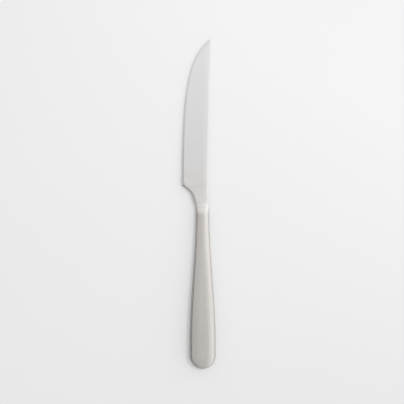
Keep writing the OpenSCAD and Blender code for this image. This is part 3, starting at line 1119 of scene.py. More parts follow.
@dataclass(frozen=True)
class Serration:
    """The fine scallops that a ridged wheel grinds into the upper side of the cutting edge.

    Attributes:
        pitch: Distance between two scallops along the edge.
        depth: Depth of a scallop from the edge.
        wheel_r: Radius of the wheel's ridges.
        land: Land left on the points between two scallops.
        wheel_angle: Angle between the wheel's cut and the blade's face.
        start: Distance along the edge from the heel to the first scallop.
        stop: Distance along the edge from the last scallop to the tip.
        cut_len: Length of a cut across the bevel.
        overrun: Extra length of the wheel's ridge past the metal.
        facets: Facets round a ridge.
        edge_points: Points of the line along the edge on which the ridges are set.
    """

    pitch: float = 1.6 * MM
    depth: float = 0.3 * MM
    wheel_r: float = 1.5 * MM
    land: float = 0.08 * MM
    wheel_angle: float = math.radians(25)
    start: float = 3.0 * MM
    stop: float = 8.0 * MM
    cut_len: float = 2.0 * MM
    overrun: float = 1.0 * MM
    facets: int = 64
    edge_points: int = 400

    def sizes(self) -> dict[str, float]:
        """Sizes of the scallops.

        Returns:
            The sizes, by the names of the tree's inputs.
        """
        return {
            "Pitch": self.pitch,
            "Depth": self.depth,
            "Wheel radius": self.wheel_r,
            "Land": self.land,
            "Wheel angle": self.wheel_angle,
            "Start": self.start,
            "Stop": self.stop,
            "Cut length": self.cut_len,
            "Overrun": self.overrun,
        }

    def tree(self) -> bpy.types.NodeTree:
        """Builds the tree that grinds the scallops.

        Returns:
            A tree that sets one ridge of the wheel at each tooth along the edge and takes them from the
            blade.
        """
        inputs: dict[str, object] = {"Geometry": "Geometry", **self.sizes(), "Facets": self.facets}
        inputs |= dict.fromkeys(("Coarse share", "Coarse from", "Coarse to"), 0.0)
        inputs |= dict.fromkeys(("Edge start", "Edge start pull", "Edge end pull", "Edge end"), "Vector")
        inputs["Material"] = "Material"
        bench = NodeBench.begin("GeometryNodeTree", "edge_scallops", inputs, {"Geometry": "Geometry"})
        points = {
            "Resolution": self.edge_points,
            "Start": bench["Edge start"],
            "Start Handle": bench["Edge start pull"],
            "End Handle": bench["Edge end pull"],
            "End": bench["Edge end"],
        }
        edge = bench.made("GeometryNodeCurvePrimitiveBezierSegment", "Curve", points, mode="POSITION")
        even = bench.made("GeometryNodeResampleCurve", "Curve", {"Curve": edge, "Count": self.edge_points})
        length = Term(bench, bench.made("GeometryNodeCurveLength", 0, {"Curve": even}))
        count = ((length - bench["Start"] - bench["Stop"]) / bench["Pitch"]).do("FLOOR")
        part = bench.wire("GeometryNodeTrimCurve", {0: even}, mode="LENGTH")
        first, last = [socket for socket in part.inputs if socket.enabled and socket.type == "VALUE"][-2:]
        bench.feed(first, bench["Start"] + bench["Pitch"] * 0.5)
        bench.feed(last, bench["Start"] + bench["Pitch"] * (count - 0.5))
        spread = {"Curve": part.outputs["Curve"], "Count": count}
        teeth = bench.wire("GeometryNodeCurveToPoints", spread, mode="COUNT").outputs
        tangent = {"Vector": teeth["Tangent"]}
        axes = {"axis": "Y", "pivot_axis": "Z"}
        heading = bench.made("FunctionNodeAlignRotationToVector", "Rotation", tangent, **axes)
        ridges = {"Points": teeth["Points"], "Instance": self.ridge(bench), "Rotation": heading}
        set_up = bench.made("GeometryNodeInstanceOnPoints", "Instances", ridges)
        wheel = bench.made("GeometryNodeRealizeInstances", "Geometry", {"Geometry": set_up})
        meshes = {"Mesh 1": bench["Geometry"], "Mesh 2": wheel}
        cut = bench.wire("GeometryNodeMeshBoolean", meshes, operation="DIFFERENCE", solver="EXACT").outputs
        # The scallops' cut faces take the bevel's painted shade, which fades towards the tip.
        _, along, _ = bench.parts(bench.add("GeometryNodeInputPosition").outputs[0])
        on_the_way = (along - bench["Coarse from"]) / (bench["Coarse to"] - bench["Coarse from"])
        coarse = bench["Coarse share"] * on_the_way.eased().rest()
        marked = cut["Mesh"]
        for name, value in ((FRESH_GRIND, 1.0), (EDGE_SHADE, coarse)):
            marked = mark(bench, marked, name, value, cut["Intersecting Edges"])
        return bench.end_dressed(marked, bench["Material"])

    def ridge(self, bench: NodeBench) -> bpy.types.NodeSocket:
        """Adds one ridge of the wheel: a round bar, cut to the width of a scallop and tilted to its cut.

        Args:
            bench: The tree that is built.

        Returns:
            The ridge, which lies along X and cuts downwards.
        """
        reach = bench["Cut length"] + bench["Overrun"]
        middle = (reach - bench["Overrun"]) * 0.5
        depth = reach + bench["Overrun"]
        round_bar = {"Vertices": bench["Facets"], "Radius": bench["Wheel radius"], "Depth": depth}
        bar = bench.made("GeometryNodeMeshCylinder", "Mesh", round_bar)
        bar_at = bench.vector(x=middle, z=bench["Wheel radius"])
        block_size = bench.vector(reach, bench["Pitch"] - bench["Land"], bench["Overrun"])
        block = bench.made("GeometryNodeMeshCube", "Mesh", {"Size": block_size})
        block_at = bench.vector(x=middle, z=bench["Overrun"] * 0.5)
        ridge = bench.add("GeometryNodeMeshBoolean", operation="INTERSECT", solver="EXACT")
        for part, at, turn in ((bar, bar_at, (0.0, math.pi / 2, 0.0)), (block, block_at, (0.0, 0.0, 0.0))):
            bench.feed(ridge.inputs["Mesh 2"], self.moved(bench, part, at, turn))
        tilt = bench.vector(y=bench["Wheel angle"] * -1.0)
        return self.moved(bench, ridge.outputs["Mesh"], bench.vector(x=bench["Depth"]), tilt)

    @staticmethod
    def moved(bench: NodeBench, made: object, offset: object, turn: object) -> bpy.types.NodeSocket:
        """Moves a part of the ridge.

        Args:
            bench: The tree that is built.
            made: What gives the part.
            offset: What gives the way that it moves.
            turn: What gives its turn.

        Returns:
            The part where it lies then.
        """
        inputs = {"Geometry": made, "Translation": offset, "Rotation": turn}
        return bench.made("GeometryNodeTransform", "Geometry", inputs)


@dataclass
class BladeOutline:
    """The blade's outline in front of the joint, seen from above.

    Attributes:
        handle: The handle that it runs into.
        spine_x: Distance of the straight spine from the handle's centreline.
        tip_sweep: How far the spine sweeps outwards by the tip.
        sweep_power: How sharply that sweep sets in.
        edge_x: Distance of the straight cutting edge from the handle's centreline.
        heel_y: Distance from the joint to the heel.
        heel_r: Rounding of the heel's corner.
        edge_straight: Length of the straight cutting edge in front of the heel.
        belly_pull: Pull of the straight edge on the belly's curve.
        tip_pull: Pull of the tip on the belly's curve.
        tip_flat: Flat left on the point.
        heel_pull: Pull of the heel on the choil's curve.
        neck_pull: Pull of the neck on the choil's curve.
        heel_angle: Angle of the outline at the heel.
        neck_angle: Angle of the outline at the neck.
        tip_angle: Angle of the outline at the tip.
        flare_len: Length over which the spine flares out to the handle's mouth.
        edge_steps: Sections along the cutting edge.
        heel_steps: Sections round the heel.
        choil_steps: Sections along the choil.
        length: Length of the blade in front of the joint.
    """

    handle: Handle
    spine_x: float = 3.6 * MM
    tip_sweep: float = 2.2 * MM
    sweep_power: float = 2.6
    edge_x: float = 14.55 * MM
    heel_y: float = 15.6 * MM
    heel_r: float = 1.0 * MM
    edge_straight: float = 3.4 * MM
    belly_pull: float = 75.2 * MM
    tip_pull: float = 17.0 * MM
    tip_flat: float = 0.4 * MM
    heel_pull: float = 10.5 * MM
    neck_pull: float = 11.5 * MM
    heel_angle: float = math.radians(52)
    neck_angle: float = math.radians(20)
    tip_angle: float = math.radians(49.5)
    flare_len: float = 7.0 * MM
    edge_steps: int = 220
    heel_steps: int = 8
    choil_steps: int = 60
    length: float = field(init=False)

    def __post_init__(self) -> None:
        """Takes the blade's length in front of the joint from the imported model."""
        self.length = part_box("blade")[1].y - self.handle.joint_y

    def edge_curve(self) -> list[Vector]:
        """The cutting edge from in front of the heel to the tip.

        Returns:
            The four points of its cubic curve.
        """
        top = self.heel_top() + self.edge_straight
        tip = Vector((self.spine_x + self.tip_sweep - self.tip_flat, self.length, 0.0))
        pull = Vector((math.sin(self.tip_angle), math.cos(self.tip_angle), 0.0)) * self.tip_pull
        start = Vector((-self.edge_x, top, 0.0))
        return [start, start + Vector((0.0, self.belly_pull, 0.0)), tip - pull, tip]

    def heel_top(self) -> float:
        """Distance from the joint to where the heel's rounding meets the straight edge."""
        return self.heel_y + self.heel_r * math.sin(self.heel_angle)

    def edge_side(self) -> list[Spot]:
        """The outline on the cutting side, from the tip to the joint.

        Returns:
            Its points, each as its place across and its distance in front of the joint.
        """
        edge = self.edge_curve()
        spots = [bezier(edge, 1.0 - i / self.edge_steps) for i in range(self.edge_steps + 1)]
        line = [(spot.x, spot.y) for spot in spots]
        for i in range(self.heel_steps):
            angle = self.heel_angle * i / self.heel_steps
            across = -self.edge_x + self.heel_r * (1.0 - math.cos(angle))
            line.append((across, self.heel_y + self.heel_r * (math.sin(self.heel_angle) - math.sin(angle))))
        heel = Vector((-self.edge_x + self.heel_r * (1.0 - math.cos(self.heel_angle)), self.heel_y))
        neck = Vector((-self.handle.mouth_half_w, 0.0))
        leave = Vector((math.sin(self.heel_angle), -math.cos(self.heel_angle))) * self.heel_pull
        arrive = Vector((-math.sin(self.neck_angle), math.cos(self.neck_angle))) * self.neck_pull
        choil = [heel, heel + leave, neck + arrive, neck]
        line += [tuple(bezier(choil, i / self.choil_steps)) for i in range(self.choil_steps)]
        return line + [(-self.handle.mouth_half_w, self.handle.mouth_break)]

    def spine_at(self, y: float) -> float:
        """Finds the spine.

        Args:
            y: Distance in front of the joint.

        Returns:
            Its place across the knife.
        """
        flare = max(0.0, 1.0 - y / self.flare_len) ** 2
        sweep = (y / self.length) ** self.sweep_power
        return self.spine_x + self.tip_sweep * sweep + (self.handle.mouth_half_w - self.spine_x) * flare


class RingPlace(float, Enum):
    """Numbers of a section's corners, on a scale that runs over its upper half from the edge to the spine."""

    START = -0.5
    EDGE_LAND = 0.0
    SHOULDER = 1.0
    BAND = 11.0
    ROUNDING = 13.0
    SPINE = 15.0
    END = 15.5


@dataclass(frozen=True)
class Ring:
    """How points are spread over the upper half of a section.

    Attributes:
        steps: Facets from the edge to the spine.
    """

    steps: int = 64

    def places(self) -> list[float]:
        """Numbers of the points from the edge to the spine, on the scale of the section's corners."""
        return [mix(RingPlace.START, RingPlace.END, i / self.steps) for i in range(self.steps + 1)]

    @staticmethod
    def oval(place: float, half_w: float, half_t: float, powers: Pair) -> Spot:
        """Point of the upper half of an oval.

        Args:
            place: The point's number.
            half_w: Half width of the oval.
            half_t: Half thickness of the oval.
            powers: Squareness across its width and through its thickness.

        Returns:
            The point's place across and its height.
        """
        angle = math.pi * (1.0 - (place - RingPlace.START) / (RingPlace.END - RingPlace.START))
        return half_w * rounded(math.cos(angle), powers[0]), half_t * rounded(math.sin(angle), powers[1])

    def oval_half(self, half_w: float, half_t: float, powers: Pair) -> list[Spot]:
        """Upper half of an oval section, as points across and up."""
        return [self.oval(place, half_w, half_t, powers) for place in self.places()]


@dataclass(frozen=True)
class BladeGrind:
    """The blade's sections in front of the joint: its ground faces, the choil and the bolster's ramp.

    Attributes:
        stock_t: Thickness of the stock.
        tip_t: Thickness of the spine at the tip.
        thin_at: Distance from the joint to where the spine starts to thin.
        thin_power: How sharply that thinning sets in.
        band_w: Width of the flat band along the spine.
        spine_break: Rounding of the spine's corners.
        shoulder_t: Thickness at the shoulder of the edge's bevel.
        bevel_w: Width of the edge's bevel.
        edge_land: Thickness left on the cutting edge.
        choil_t: Thickness of the unsharpened choil.
        plunge_len: Length in which the ground face runs out at the heel.
        ramp_len: Length of the bolster's ramp.
        ramp_power: How sharply the ramp sets in.
        narrow_shares: Most of a narrow tip's width that the bevel, the band and the spine's rounding take.
        shoulder_share: Most of the spine's thickness that the bevel's shoulder keeps.
        break_steps: Facets of the rounding of the spine's corners.
    """

    stock_t: float = 1.8 * MM
    tip_t: float = 0.6 * MM
    thin_at: float = 84.0 * MM
    thin_power: float = 1.6
    band_w: float = 3.2 * MM
    spine_break: float = 0.3 * MM
    shoulder_t: float = 0.5 * MM
    bevel_w: float = 1.0 * MM
    edge_land: float = 0.12 * MM
    choil_t: float = 1.4 * MM
    plunge_len: float = 4.0 * MM
    ramp_len: float = 9.0 * MM
    ramp_power: float = 2.0
    narrow_shares: tuple[float, float, float] = (0.3, 0.4, 0.1)
    shoulder_share: float = 0.8
    break_steps: int = 4

    def corners(self, outline: BladeOutline, left: float, y: float) -> list[tuple[float, float, float]]:
        """Corners of the upper half of the blade's section.

        Args:
            outline: The blade's outline.
            left: Place of the cutting edge or the choil across the knife.
            y: Distance in front of the joint.

        Returns:
            For each corner from the edge to the spine, its number on the ring, its place across and its
            height.
        """
        right = outline.spine_at(y)
        width = right - left
        bevel_share, band_share, break_share = self.narrow_shares
        thinning = max(0.0, (y - self.thin_at) / (outline.length - self.thin_at)) ** self.thin_power
        thick = mix(self.stock_t, self.tip_t, thinning)
        dull = ease((outline.heel_top() - y) / self.plunge_len + 0.5)
        turned = min(self.spine_break, break_share * width)
        bevel = mix(min(self.bevel_w, bevel_share * width), self.spine_break, dull)
        shoulder = mix(min(self.shoulder_t, self.shoulder_share * thick), self.choil_t, dull)
        dull_land = self.choil_t - 2 * self.spine_break
        land = mix(min(self.edge_land, self.shoulder_share * shoulder), dull_land, dull)
        band = min(self.band_w, band_share * width)
        rounding = []
        for i in range(self.break_steps + 1):
            place = mix(RingPlace.ROUNDING, RingPlace.SPINE, i / self.break_steps)
            angle = math.radians(90 / self.break_steps) * i
            across = right - turned * (1.0 - math.sin(angle))
            up = thick / 2 - turned * (1.0 - math.cos(angle))
            rounding.append((place, across, up))
        return [
            (RingPlace.START, left, 0.0),
            (RingPlace.EDGE_LAND, left, land / 2),
            (RingPlace.SHOULDER, left + bevel, shoulder / 2),
            (RingPlace.BAND, right - band, thick / 2),
            *rounding,
            (RingPlace.END, right, 0.0),
        ]

    def half(self, outline: BladeOutline, ring: Ring, left: float, y: float) -> list[Spot]:
        """Upper half of a section.

        Args:
            outline: The blade's outline.
            ring: How the section's points are spread.
            left: Place of the cutting edge or the choil across the knife.
            y: Distance in front of the joint.

        Returns:
            Points across and up, which turn into the oval of the handle's mouth along the bolster.
        """
        handle, right = outline.handle, outline.spine_at(y)
        corners = self.corners(outline, left, y)
        ramp = max(0.0, 1.0 - y / self.ramp_len) ** self.ramp_power
        powers = (handle.side_power, handle.face_power)
        half, after = [], 1
        for place in ring.places():
            while corners[after][0] < place:
                after += 1
            (a, xa, za), (b, xb, zb) = corners[after - 1], corners[after]
            share = (place - a) / (b - a)
            round_x, round_z = ring.oval(place, (right - left) / 2, handle.mouth_half_t, powers)
            across = mix(mix(xa, xb, share), round_x + (left + right) / 2, ramp)
            half.append((across, mix(mix(za, zb, share), round_z, ramp)))
        return half


@dataclass(frozen=True)
class Tang:
    """The spigot in the handle's mouth and the notched tang behind it.

    Attributes:
        spigot_len: Depth of the spigot in the handle's mouth.
        spigot_gap: Clearance between the spigot and the shells.
        length: Length of the tang from the joint.
        root: Half width and half thickness of the tang at its root.
        end: Half width and half thickness of the tang at its end.
        power: Squareness of the tang's section.
        notches: Number of notches in the tang.
        notch_len: Length of a notch.
        notch_depth: Depth of a notch in the tang's sides.
        notch_waist: Depth of a notch in the tang's faces, as a share of that in its sides.
    """

    spigot_len: float = 3.5 * MM
    spigot_gap: float = 0.08 * MM
    length: float = 42.0 * MM
    root: Pair = (2.7 * MM, 1.4 * MM)
    end: Pair = (2.0 * MM, 1.0 * MM)
    power: float = 6.0
    notches: int = 2
    notch_len: float = 3.0 * MM
    notch_depth: float = 0.7 * MM
    notch_waist: float = 0.25

    def sections(self, handle: Handle, ring: Ring) -> list[tuple[float, list[Spot]]]:
        """Sections of the joint, the spigot and the tang.

        Args:
            handle: The handle that holds them.
            ring: How a section's points are spread.

        Returns:
            For each section, its place along the knife and the upper half of its points.
        """
        soft = (handle.side_power, handle.face_power)
        rim, spigot = (
            ring.oval_half(handle.mouth_half_w - inset, handle.mouth_half_t - inset, soft)
            for inset in (handle.mouth_break, handle.wall + self.spigot_gap)
        )
        sections = [(0.0, rim), (0.0, spigot), (-self.spigot_len, spigot)]
        steps = [(self.spigot_len, 0.0)]
        for i in range(self.notches):
            start = mix(self.spigot_len, self.length, (i + 1) / (self.notches + 1)) - self.notch_len / 2
            end = start + self.notch_len
            steps += [(start, 0.0), (start, self.notch_depth), (end, self.notch_depth), (end, 0.0)]
        for distance, notch in steps + [(self.length, 0.0)]:
            share = (distance - self.spigot_len) / (self.length - self.spigot_len)
            half_w = mix(self.root[0], self.end[0], share) - notch
            half_t = mix(self.root[1], self.end[1], share) - self.notch_waist * notch
            sections.append((-distance, ring.oval_half(half_w, half_t, (self.power, self.power))))
        return sections


@dataclass(frozen=True)
class BladeWear:
    """Where the blade's finish changes by the grinding and the joint, and where shade and highlights are
    painted into its colour.

    Attributes:
        heel_top: Distance from the joint to where the heel's rounding meets the straight edge.
        plunge_len: Length in which the ground face runs out at the heel.
        turn_reach: Distances from the joint where the bolster's finish starts and ends to turn into the
            blade's.
        wall_reach: How far the painted shade along the choil reaches over the face, from full to none.
        wall_start: Length at the heel in which that painted shade sets in.
        wall_end: Share of that painted shade that is left by the joint.
        coarse_reach: Distances from the joint where the painted shade along the edge's bevel starts to fade
            and ends. Both stand in for the dark line of shadow and dark reflection beside the edge.
        coarse_share: How much of the choil's painted shade the bevel has where it is darkest.
        even_reach: Distances from the joint where the painted shade on the blade's rear half fades,
            towards the tip and towards the joint.
        even_share: How dark that painted shade is.
        ramp_reach: The same distances for the painted shade on the ramp in front of the bolster.
        ramp_share: How dark the ramp's painted shade is.
        plunge_share: Length to each side of the heel that the plunge's painted shade covers, as a share of
            the plunge's.
        plunge_reach: Places round the section over which the plunge's painted shade fades towards the spine.
        polish_reach: Distances from the joint where the painted highlight along the spine's rear part
            fades, towards the tip and towards the joint.
        polish_band: Places round the section over which that painted highlight sets in towards the spine.
    """

    heel_top: float
    plunge_len: float
    turn_reach: Pair = (14.0 * MM, 40.0 * MM)
    wall_reach: Pair = (0.8 * MM, 2.6 * MM)
    wall_start: float = 1.0 * MM
    wall_end: float = 0.25
    coarse_reach: Pair = (20.0 * MM, 95.0 * MM)
    coarse_share: float = 0.42
    even_reach: tuple[Pair, Pair] = ((30.0 * MM, 85.0 * MM), (22.0 * MM, 42.0 * MM))
    even_share: float = 0.19
    ramp_reach: tuple[Pair, Pair] = ((5.5 * MM, 9.0 * MM), (1.2 * MM, 4.0 * MM))
    ramp_share: float = 0.85
    plunge_share: float = 0.8
    plunge_reach: Pair = (RingPlace.SHOULDER, 16.0)
    polish_reach: tuple[Pair, Pair] = ((0.0 * MM, 60.0 * MM), (2.0 * MM, 5.0 * MM))
    polish_band: Pair = (RingPlace.BAND, RingPlace.ROUNDING)

    @staticmethod
    def between(y: float, reaches: tuple[Pair, Pair]) -> float:
        """Share that fades towards the tip over the first reach, and towards the joint over the second."""
        return fade(y, reaches[0]) * (1.0 - fade(y, reaches[1]))

    def run_out(self, y: float, place: float) -> float:
        """Share of the painted shade on the blade's rear half, and on the ramp and plunge where they tilt to
        the tip.

        Args:
            y: Distance in front of the joint.
            place: The point's number on the ring.

        Returns:
            The share, from 0 by the tip to 1 at most.
        """
        even = self.even_share * self.between(y, self.even_reach)
        ramp = self.ramp_share * self.between(y, self.ramp_reach)
        plunge = 1.0 - min(1.0, abs(y - self.heel_top) / (self.plunge_len * self.plunge_share)) ** 2
        return max(even, ramp, plunge * fade(place, self.plunge_reach))

    def spine_polish(self, y: float, place: float) -> float:
        """Share of the painted highlight on the spine, at a distance from the joint and a place round the
        section.
        """
        return self.between(y, self.polish_reach) * (1.0 - fade(place, self.polish_band))

    def mark_ring(
        self,
        points: list[bmesh.types.BMVert],
        places: list[float],
        left: float,
        y: float,
        marks: dict[str, bmesh.types.BMLayerItem],
    ) -> None:
        """Marks the finishes of a section in front of the joint, and its painted shade and highlight.

        Args:
            points: The section's points, first over its upper half and then back over the lower.
            places: The numbers of the upper half's points.
            left: Place of the cutting edge or the choil across the knife.
            y: Distance in front of the joint.
            marks: The layers that take the marks, by name.
        """
        behind = self.heel_top - y
        sharp = 1.0 - ease(behind / self.plunge_len + 0.5)
        # Painted shade: dull along the choil, fading towards the joint, and coarse along the bevel, fading
        # towards the tip; both stand in for the dark line of shadow and dark reflection beside the edge.
        dull = ease(behind / self.wall_start + 0.5) * mix(self.wall_end, 1.0, y / self.heel_top)
        coarse = sharp * self.coarse_share * fade(y, self.coarse_reach)
        for i, place in enumerate(places):
            for vertex in (points[i], points[-i]):
                dark = dull * fade(vertex.co.x - left, self.wall_reach)
                if place <= RingPlace.SHOULDER:
                    vertex[marks[FRESH_GRIND]] = sharp
                    dark = max(dark, coarse)
                vertex[marks[EDGE_SHADE]] = dark
                vertex[marks[PAINTED_REAR_SHADE]] = self.run_out(y, place)
                vertex[marks[PAINTED_SPINE_HIGHLIGHT]] = self.spine_polish(y, place)


@dataclass
class Blade:
    """The forged blade, with its choil, bolster, spigot and notched tang.

    Attributes:
        handle: The handle that holds it.
        ring: How the points of its sections are spread.
        grind: Its sections in front of the joint.
        tang: Its spigot and its tang.
        serration: The scallops of its cutting edge.
        crease: Angle past which an edge is shaded sharp.
        outline: Its outline in front of the joint.
        wear: Where its finish changes, and where shade and highlights are painted on it.
    """

    handle: Handle
    ring: Ring = Ring()
    grind: BladeGrind = BladeGrind()
    tang: Tang = Tang()
    serration: Serration = Serration()
    crease: float = math.radians(28)
    outline: BladeOutline = field(init=False)
    wear: BladeWear = field(init=False)

    def __post_init__(self) -> None:
        """Fits the outline to the handle and the finish to the outline."""
        self.outline = BladeOutline(self.handle)
        self.wear = BladeWear(self.outline.heel_top(), self.grind.plunge_len)

    def forge(self, mesh: bpy.types.Mesh) -> None:
        """Builds the blade's closed skin, with its grind lines marked sharp and its finishes marked.

        Args:
            mesh: The mesh that takes the skin.
        """
        front = self.outline.edge_side()
        sections = [(y, self.grind.half(self.outline, self.ring, left, y)) for left, y in front]
        bench = bmesh.new()
        names = (FRESH_GRIND, EDGE_SHADE, NEAR_JOINT, PAINTED_REAR_SHADE, PAINTED_SPINE_HIGHLIGHT)
        marks = {name: bench.verts.layers.float.new(name) for name in names}
        places = self.ring.places()
        rings = []
        for y, half in sections + self.tang.sections(self.handle, self.ring):
            upper = [bench.verts.new((x, y, z)) for x, z in half]
            lower = [bench.verts.new((x, y, -z)) for x, z in half[-2:0:-1]]
            points = upper + lower
            for vertex in points:
                vertex[marks[NEAR_JOINT]] = fade(y, self.wear.turn_reach)
            if len(rings) < len(front):
                self.wear.mark_ring(points, places, half[0][0], y, marks)
            rings.append(points)
        self.close_skin(bench, rings, len(front))
        bench.to_mesh(mesh)
        bench.free()

    def close_skin(
        self, bench: bmesh.types.BMesh, rings: list[list[bmesh.types.BMVert]], front_rings: int
    ) -> None:
        """Joins the sections into one closed skin and marks its grind lines.

        Args:
            bench: The mesh that is built.
            rings: The sections' points, from the tip to the tang's end.
            front_rings: Number of sections in front of the joint.
        """
        count = len(rings[0])
        creased = {
            i for i, place in enumerate(self.ring.places()) if place in (RingPlace.SHOULDER, RingPlace.BAND)
        }
        for number, (ring, after) in enumerate(zip(rings, rings[1:])):
            for i in range(count):
                j = (i + 1) % count
                face = bench.faces.new((ring[i], ring[j], after[j], after[i]))
                if number < front_rings and (i in creased or (count - i) in creased):
                    next(e for e in face.edges if set(e.verts) == {ring[i], after[i]}).smooth = False
        for ring in (rings[0], rings[-1]):
            bench.faces.new(ring)
        bmesh.ops.recalc_face_normals(bench, faces=bench.faces)

    def build(self) -> bpy.types.Object:
        """Builds and dresses the blade.

        Returns:
            The blade.
        """
        piece = new_object("forged_blade")
        self.forge(piece.data)
        underside = Vector((0.0, 0.0, -self.grind.edge_land / 2))
        names = ("Edge start", "Edge start pull", "Edge end pull", "Edge end")
        values = {name: tuple(point + underside) for name, point in zip(names, self.outline.edge_curve())}
        values |= self.serration.sizes()
        # The bevel's painted shade, for the scallops' cut faces.
        start, end = self.wear.coarse_reach
        values |= {"Coarse share": self.wear.coarse_share, "Coarse from": start, "Coarse to": end}
        values |= {"Facets": self.serration.facets, "Material": BLADE_STEEL.material()}
        run_tree(piece, self.serration.tree(), values)
        piece.data.transform(Matrix.Translation(self.handle.joint()))
        shade(piece, self.crease)
        return keep_piece(piece, "blade_steel", "blade")


@dataclass(frozen=True)
class TangCement:
    """The cement that holds the tang in the handle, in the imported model's own shape.

    Attributes:
        node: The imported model's node.
    """

    node: str = "tang_cement"

    def dress(self) -> bpy.types.Object:
        """Gives the cement its finish.

        Returns:
            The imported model's cement.
        """
        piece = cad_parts[self.node]
        piece.data.materials.clear()
        piece.data.materials.append(CEMENT.material())
        log.info("%s: keeps its shape", piece.name)
        return piece


class RoomSide(Enum):
    """Direction along which the room's brightness changes."""

    TOWARDS_THE_TIP = (0.0, 1.0, 0.0)
    TOWARDS_THE_SPINE = (1.0, 0.0, 0.0)
    FROM_EDGE_AND_BUTT = (0.906, 0.423, 0.0)


@dataclass(frozen=True)
class RoomStep:
    """One smooth change of the room's brightness.

    Attributes:
        side: The direction in which it changes.
        levels: Brightness before and after the change, as factors.
        span: Where on the way to that side it changes, from -1 on the far side over 0 overhead to 1.
        top: Heights where it fades out, from 0 at the horizon to 1 overhead, for a change that stays low.
    """

    side: RoomSide
    levels: Pair
    span: Pair
    top: Pair | None = None

    @staticmethod
    def along(
        bench: NodeBench, look: bpy.types.NodeSocket, way: tuple[float, float, float], span: Pair
    ) -> Term:
        """Smooth share from 0 at the start of a span to 1 at its end, measured along a direction."""
        cosine = bench.made("ShaderNodeVectorMath", "Value", {0: look, 1: way}, operation="DOT_PRODUCT")
        return ((Term(bench, cosine) - span[0]) / (span[1] - span[0])).eased()

    def level(self, bench: NodeBench, look: bpy.types.NodeSocket) -> Term:
        """Brightness that this change leaves in each direction.

        Args:
            bench: The world's nodes.
            look: The direction that is looked in.

        Returns:
            The brightness, as a factor.
        """
        before, after = self.levels
        level = Term(bench, before).toward(after, self.along(bench, look, self.side.value, self.span))
        if self.top is None:
            return level
        return level.toward(1.0, self.along(bench, look, (0.0, 0.0, 1.0), self.top))


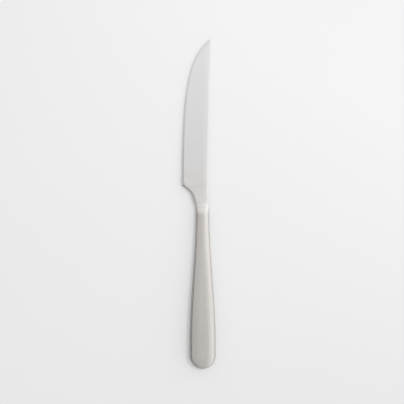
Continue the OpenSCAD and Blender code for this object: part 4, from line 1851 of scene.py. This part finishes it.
@dataclass(frozen=True)
class Studio:
    """The white table that the knife lies on, its light, and the camera above.

    Attributes:
        table_half: Half width of the table.
        balance_at: Where the knife balances, along Y.
        lens: The camera's lens, in millimetres.
        camera_at: Where the camera stands.
        lamp_way: Direction of the lamp from the knife.
        lamp_far: Distance of the lamp.
        lamp_size: Width of the lamp.
        lamp_level: Light that the lamp gives the table, where 1 renders a colour as it is written.
        room: Changes of the room's brightness: a bright wall by the tip and the spine, a dark one opposite.
        brightest: Most that the room's brightness reaches.
        room_colour: Colour of the room's light.
        clip: Nearest and farthest distance that the camera sees.
    """

    table_half: float = 3.0
    balance_at: float = -17.8 * MM
    lens: float = 100.0
    camera_at: tuple[float, float, float] = (0.00215, 0.0015, 0.8052)
    lamp_way: tuple[float, float, float] = (0.36, 0.12, 0.93)
    lamp_far: float = 1.2
    lamp_size: float = 0.25
    lamp_level: float = 0.25
    room: tuple[RoomStep, ...] = (
        RoomStep(RoomSide.TOWARDS_THE_TIP, (0.70, 1.06), (-0.12, 0.25)),
        RoomStep(RoomSide.TOWARDS_THE_TIP, (1.0, 0.82), (0.22, 0.5)),
        RoomStep(RoomSide.TOWARDS_THE_SPINE, (0.86, 1.0), (-0.3, 0.1)),
        RoomStep(RoomSide.TOWARDS_THE_SPINE, (1.0, 1.56), (0.1, 0.75)),
        RoomStep(RoomSide.FROM_EDGE_AND_BUTT, (0.1, 1.0), (-0.8, -0.5), (0.17, 0.44)),
    )
    brightest: float = 1.2
    room_colour: Colour = (1.0, 1.0, 1.0)
    clip: Pair = (0.01, 50.0)

    def resting_line(self, pieces: Iterable[bpy.types.Object]) -> tuple[Spot, Spot]:
        """Finds where the knife touches the table, seen from the side.

        Args:
            pieces: The knife's pieces.

        Returns:
            The two touching points, each as a place along Y and a height.
        """
        low: dict[int, Spot] = {}
        for piece in pieces:
            for vertex in piece.data.vertices:
                spot = (vertex.co.y, vertex.co.z)
                key = round(spot[0] / MM)
                if key not in low or spot[1] < low[key][1]:
                    low[key] = spot
        hull: list[Spot] = []
        for spot in sorted(low.values()):
            while len(hull) > 1 and self.left_turn(hull[-2], hull[-1], spot) <= 0.0:
                hull.pop()
            hull.append(spot)
        return next(pair for pair in zip(hull, hull[1:]) if pair[1][0] > self.balance_at)

    @staticmethod
    def left_turn(a: Spot, b: Spot, c: Spot) -> float:
        """Positive where the way from a by b to c turns left."""
        return (b[0] - a[0]) * (c[1] - a[1]) - (b[1] - a[1]) * (c[0] - a[0])

    def lay_table(self, pieces: Iterable[bpy.types.Object]) -> None:
        """Lays the table under the knife, at the slope of the line between the two places that it rests on.

        Args:
            pieces: The knife's pieces.
        """
        (near, low), (far, high) = self.resting_line(pieces)
        slope = (high - low) / (far - near)
        half = self.table_half
        square = ((-half, -half), (half, -half), (half, half), (-half, half))
        table = new_object("table_top")
        table.data.from_pydata([(x, y, low + slope * (y - near)) for x, y in square], [], [(0, 1, 2, 3)])
        table.data.materials.append(TABLE_TOP.material())
        lean = math.degrees(math.atan(slope))
        log.info("the knife rests at %.1f and %.1f mm and leans by %.2f degrees", near / MM, far / MM, lean)

    def hang_lamp(self) -> None:
        """Hangs the lamp high on the spine's side, for the soft shadow. The steel doesn't mirror it."""
        way = Vector(self.lamp_way).normalized()
        lamp = bpy.data.lights.new("lamp", "AREA")
        lamp.shape = "DISK"
        lamp.size = self.lamp_size
        lamp.energy = self.lamp_level * math.pi**2 * self.lamp_far**2 / way.z
        hung = bpy.data.objects.new("lamp", lamp)
        hung.location = way * self.lamp_far
        hung.rotation_mode = "QUATERNION"
        hung.rotation_quaternion = way.to_track_quat("Z", "Y")
        hung.visible_camera = hung.visible_glossy = False
        bpy.context.scene.collection.objects.link(hung)

    def light_room(self) -> None:
        """Gives the room its soft light, which is brighter towards the tip and the spine."""
        world = bpy.data.worlds.new("studio_room")
        world.use_nodes = True
        bpy.context.scene.world = world
        bench = NodeBench(world.node_tree)
        look = bench.add("ShaderNodeTexCoord").outputs["Generated"]
        level = Term(bench, 1.0)
        for step in self.room:
            level = level * step.level(bench, look)
        background = world.node_tree.nodes["Background"]
        bench.feed(background.inputs["Strength"], level.do("MINIMUM", self.brightest))
        background.inputs["Color"].default_value = (*self.room_colour, 1.0)

    def set_camera(self) -> None:
        """Sets the camera straight above the knife."""
        lens = bpy.data.cameras.new("camera")
        lens.lens = self.lens
        lens.clip_start, lens.clip_end = self.clip
        camera = bpy.data.objects.new("camera", lens)
        camera.location = self.camera_at
        bpy.context.scene.collection.objects.link(camera)
        bpy.context.scene.camera = camera
        bpy.context.scene.view_settings.view_transform = "Standard"


def main() -> None:
    """Builds the knife's pieces and the studio in order."""
    handle = Handle()
    pieces = handle.build()
    pieces.append(Blade(handle).build())
    TangCement().dress()
    studio = Studio()
    studio.lay_table(pieces)
    studio.hang_lamp()
    studio.light_room()
    studio.set_camera()


if __name__ == "__main__":
    logging.basicConfig(level=logging.INFO, format="%(name)s: %(message)s")
    main()
